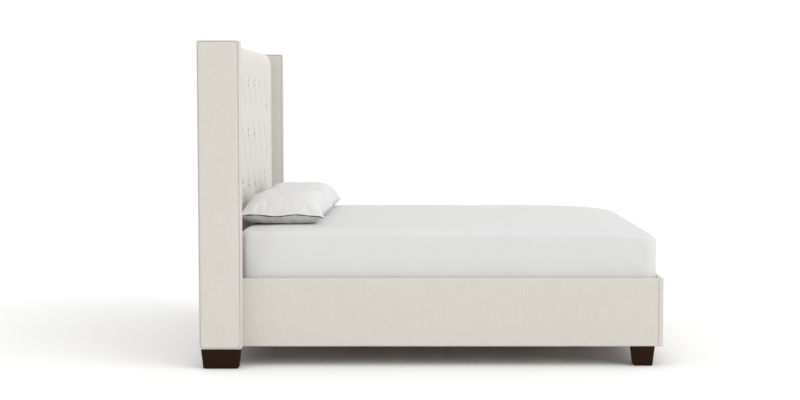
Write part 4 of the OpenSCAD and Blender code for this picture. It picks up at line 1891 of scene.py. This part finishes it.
@dataclass
class TaperedLeg:
    """A stained block leg whose four sides lean in towards the floor."""

    node: str
    palette: Palette
    ease: float = 0.0025
    taper: float = 0.010

    def build(self) -> bpy.types.Object:
        """Builds the leg.

        Returns:
            The finished leg.
        """
        low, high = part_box(self.node)
        leg = add_block(f"{self.node}_block", low, high)
        size = high - low
        middle = (low + high) / 2
        with editing(leg):
            pick_faces(leg, facing(Vector((0, 0, -1))))
            bpy.ops.transform.resize(value=(1 - 2 * self.taper / size.x,
                                            1 - 2 * self.taper / size.y, 1),
                                     center_override=(middle.x, middle.y, low.z))
            pick_edges(leg, lambda edge: True)
            bpy.ops.mesh.bevel(offset=self.ease, segments=3)
            pick_faces(leg, facing(Vector((0, 0, -1))))
            bpy.ops.mesh.inset(thickness=0.004)
            bpy.ops.mesh.inset(thickness=0.0015, depth=-0.001)
        slice_evenly(leg, Axis.Z, 0.02)
        shade(leg, 35)
        lay_out(leg)
        dress(leg, self.palette.espresso, "espresso_wood", "bed_frame", self.node)
        return leg


@dataclass
class Slats:
    """The slats: planed boards with rounded edges."""

    palette: Palette
    ease: float = 0.004
    end_ease: float = 0.0015

    def build(self) -> list[bpy.types.Object]:
        """Models one slat and copies it to the others' places.

        Returns:
            The slats.
        """
        names = sorted((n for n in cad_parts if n.startswith("slat_") and n != "slat_screws"),
                       key=lambda n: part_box(n)[0].x)
        low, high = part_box(names[0])
        first = add_block("board", low, high)
        with editing(first):
            pick_edges(first, lambda e: abs((e.verts[0].co - e.verts[1].co).normalized().y) > ALONG_AXIS)
            bpy.ops.mesh.bevel(offset=self.ease, segments=4)
            pick_edges(first, lambda e: any(abs(f.normal.y) > 0.9 for f in e.link_faces))
            bpy.ops.mesh.bevel(offset=self.end_ease, segments=2)
        slice_evenly(first, Axis.Y, 0.2)
        boards = []
        for name in names:
            board = copy_of(first)
            board.name = board.data.name = f"{name}_board"
            board.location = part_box(name)[0] - low
            settle(board)
            shade(board, 35)
            dress(board, self.palette.timber[Grain.ACROSS], "timber", "bed_frame", name)
            boards.append(board)
        bpy.data.objects.remove(first)
        return boards


@dataclass
class PlanedTimber:
    """A straight timber with eased edges, in place of a plain CAD block."""

    node: str
    palette: Palette
    grain: Grain
    ease: float = 0.002

    def build(self) -> bpy.types.Object:
        """Builds the timber.

        Returns:
            The finished timber.
        """
        timber = add_block(f"{self.node}_timber", *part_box(self.node))
        with editing(timber):
            pick_edges(timber, lambda edge: True)
            bpy.ops.mesh.bevel(offset=self.ease, segments=2)
        shade(timber, 35)
        dress(timber, self.palette.timber[self.grain], "timber", "bed_frame", self.node)
        return timber


@dataclass
class Joinery:
    """The CAD nodes that keep their own shape and only take a finish."""

    palette: Palette

    def finish(self) -> None:
        """Gives each kept node its material."""
        timber = self.palette.timber
        finishes = {
            "headboard_frame": timber[Grain.UPRIGHT],
            "headboard_board": self.palette.plywood,
            "footboard_core": timber[Grain.ACROSS],
            "left_corner_block": timber[Grain.UPRIGHT],
            "right_corner_block": timber[Grain.UPRIGHT],
            "centre_beam": timber[Grain.ALONG],
            "leg_glides": self.palette.felt,
        }
        for side in SIDES:
            finishes[f"{side}_wing_core"] = timber[Grain.UPRIGHT]
            finishes[f"{side}_rail_core"] = timber[Grain.ALONG]
            finishes[f"{side}_rail_ledger"] = timber[Grain.ALONG]
        for name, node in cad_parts.items():
            if name.startswith("centre_leg"):
                finishes[name] = self.palette.espresso
            if name.startswith("levelling_pad"):
                finishes[name] = self.palette.rubber
            material = finishes.get(name, self.palette.zinc)
            if not node.hide_render:
                paint(node, material)
                log.info("%s: CAD node, %s", name, material.name)


# ---- studio ----


@dataclass
class Studio:
    """The camera, the floor and the soft light."""

    camera_place: tuple[float, float, float] = (0.0162, -8.592, 1.266)
    pitch: float = 0.066
    lens: float = 70.965
    shift: tuple[float, float] = (-0.045, 0.01125)
    sky: float = 1.1
    key: float = 1.0
    key_spread: float = 0.9
    key_way: tuple[float, float, float] = (0.74, -0.5, 0.46)
    floor_size: float = 60.0
    floor_shade: float = 0.87

    def build(self) -> None:
        """Sets up the whole studio."""
        self.add_camera()
        self.add_floor()
        self.add_lights()

    def add_camera(self) -> None:
        """Adds the camera."""
        data = bpy.data.cameras.new("camera")
        data.lens = self.lens
        data.sensor_width = 36.0
        data.shift_x, data.shift_y = self.shift
        data.clip_end = 200.0
        camera = bpy.data.objects.new("camera", data)
        camera.location = self.camera_place
        camera.rotation_euler = (math.pi / 2 - self.pitch, 0, 0)
        bpy.context.scene.collection.objects.link(camera)
        bpy.context.scene.camera = camera

    def add_floor(self) -> None:
        """Adds a plain pale floor."""
        clear_selection()
        bpy.ops.mesh.primitive_plane_add(size=self.floor_size)
        floor = bpy.context.object
        floor.name = "floor"
        material = bpy.data.materials.new("floor")
        material.use_nodes = True
        shader = material.node_tree.nodes["Principled BSDF"]
        shader.inputs["Base Color"].default_value = rgba((self.floor_shade,) * 3)
        shader.inputs["Roughness"].default_value = 1.0
        shader.inputs["Specular IOR Level"].default_value = 0.0
        floor.data.materials.append(material)

    def add_lights(self) -> None:
        """Adds the sky, and one broad soft lamp from the foot end."""
        world = bpy.data.worlds.new("studio")
        bpy.context.scene.world = world
        world.use_nodes = True
        background = world.node_tree.nodes["Background"]
        background.inputs["Color"].default_value = (1.0, 1.0, 1.0, 1)
        background.inputs["Strength"].default_value = self.sky
        data = bpy.data.lights.new("key", "SUN")
        data.energy = self.key
        data.angle = self.key_spread
        lamp = bpy.data.objects.new("key", data)
        lamp.rotation_euler = (-Vector(self.key_way)).to_track_quat("-Z", "Y").to_euler()
        bpy.context.scene.collection.objects.link(lamp)
        bpy.context.scene.view_settings.view_transform = "Standard"


def main() -> None:
    """Builds the bed, piece by piece, and then the studio."""
    logging.basicConfig(level=logging.INFO, format="%(name)s: %(message)s", force=True)
    Studio().build()
    palette = Palette()
    pad = TuftedPad(palette)
    pad.build()
    ClothButtons(palette, pad.seats).build()
    Apron(palette).build()
    down = (0.0, 0.0, -1.0)
    CoveredBoard("back_panel_cover", ("headboard_back_cover",), palette, edge_r=0.0015,
                 step=0.05, seam_inset=0.012, seam_d=0.001, crown=0.001,
                 seamed=((-1.0, 0.0, 0.0),), seed=3).build()
    for side, sign in SIDES.items():
        across = (0.0, float(sign), 0.0)
        CoveredBoard(f"{side}_wing_wrap", (f"{side}_wing_cover",), palette, edge_r=0.002,
                     seamed=(across, (0.0, float(-sign), 0.0)), opened=(down,), lip=0.012,
                     seam_inset=0.0006, seam_w=0.004, crown=0.002, seed=10 + sign).build()
        CoveredBoard(f"{side}_rail_wrap", (f"{side}_rail_cover",), palette, edge_r=0.005,
                     opened=((1.0, 0.0, 0.0), (-1.0, 0.0, 0.0)), seed=20 + sign).build()
    CoveredBoard("footboard_wrap", ("footboard_cover",), palette, edge_r=0.003, opened=(down,),
                 lip=0.004, seed=30).build()
    Bedding(palette).build()
    for side, sign in SIDES.items():
        Pillow(side, palette, curl=0.007 * sign - 0.002).build()
        TaperedLeg(f"{side}_head_leg", palette).build()
        TaperedLeg(f"{side}_foot_leg", palette).build()
    Slats(palette).build()
    PlanedTimber("headboard_cleat", palette, Grain.ACROSS).build()
    PlanedTimber("footboard_cleat", palette, Grain.ACROSS).build()
    Joinery(palette).finish()
    clear_selection()


if __name__ == "__main__":
    main()
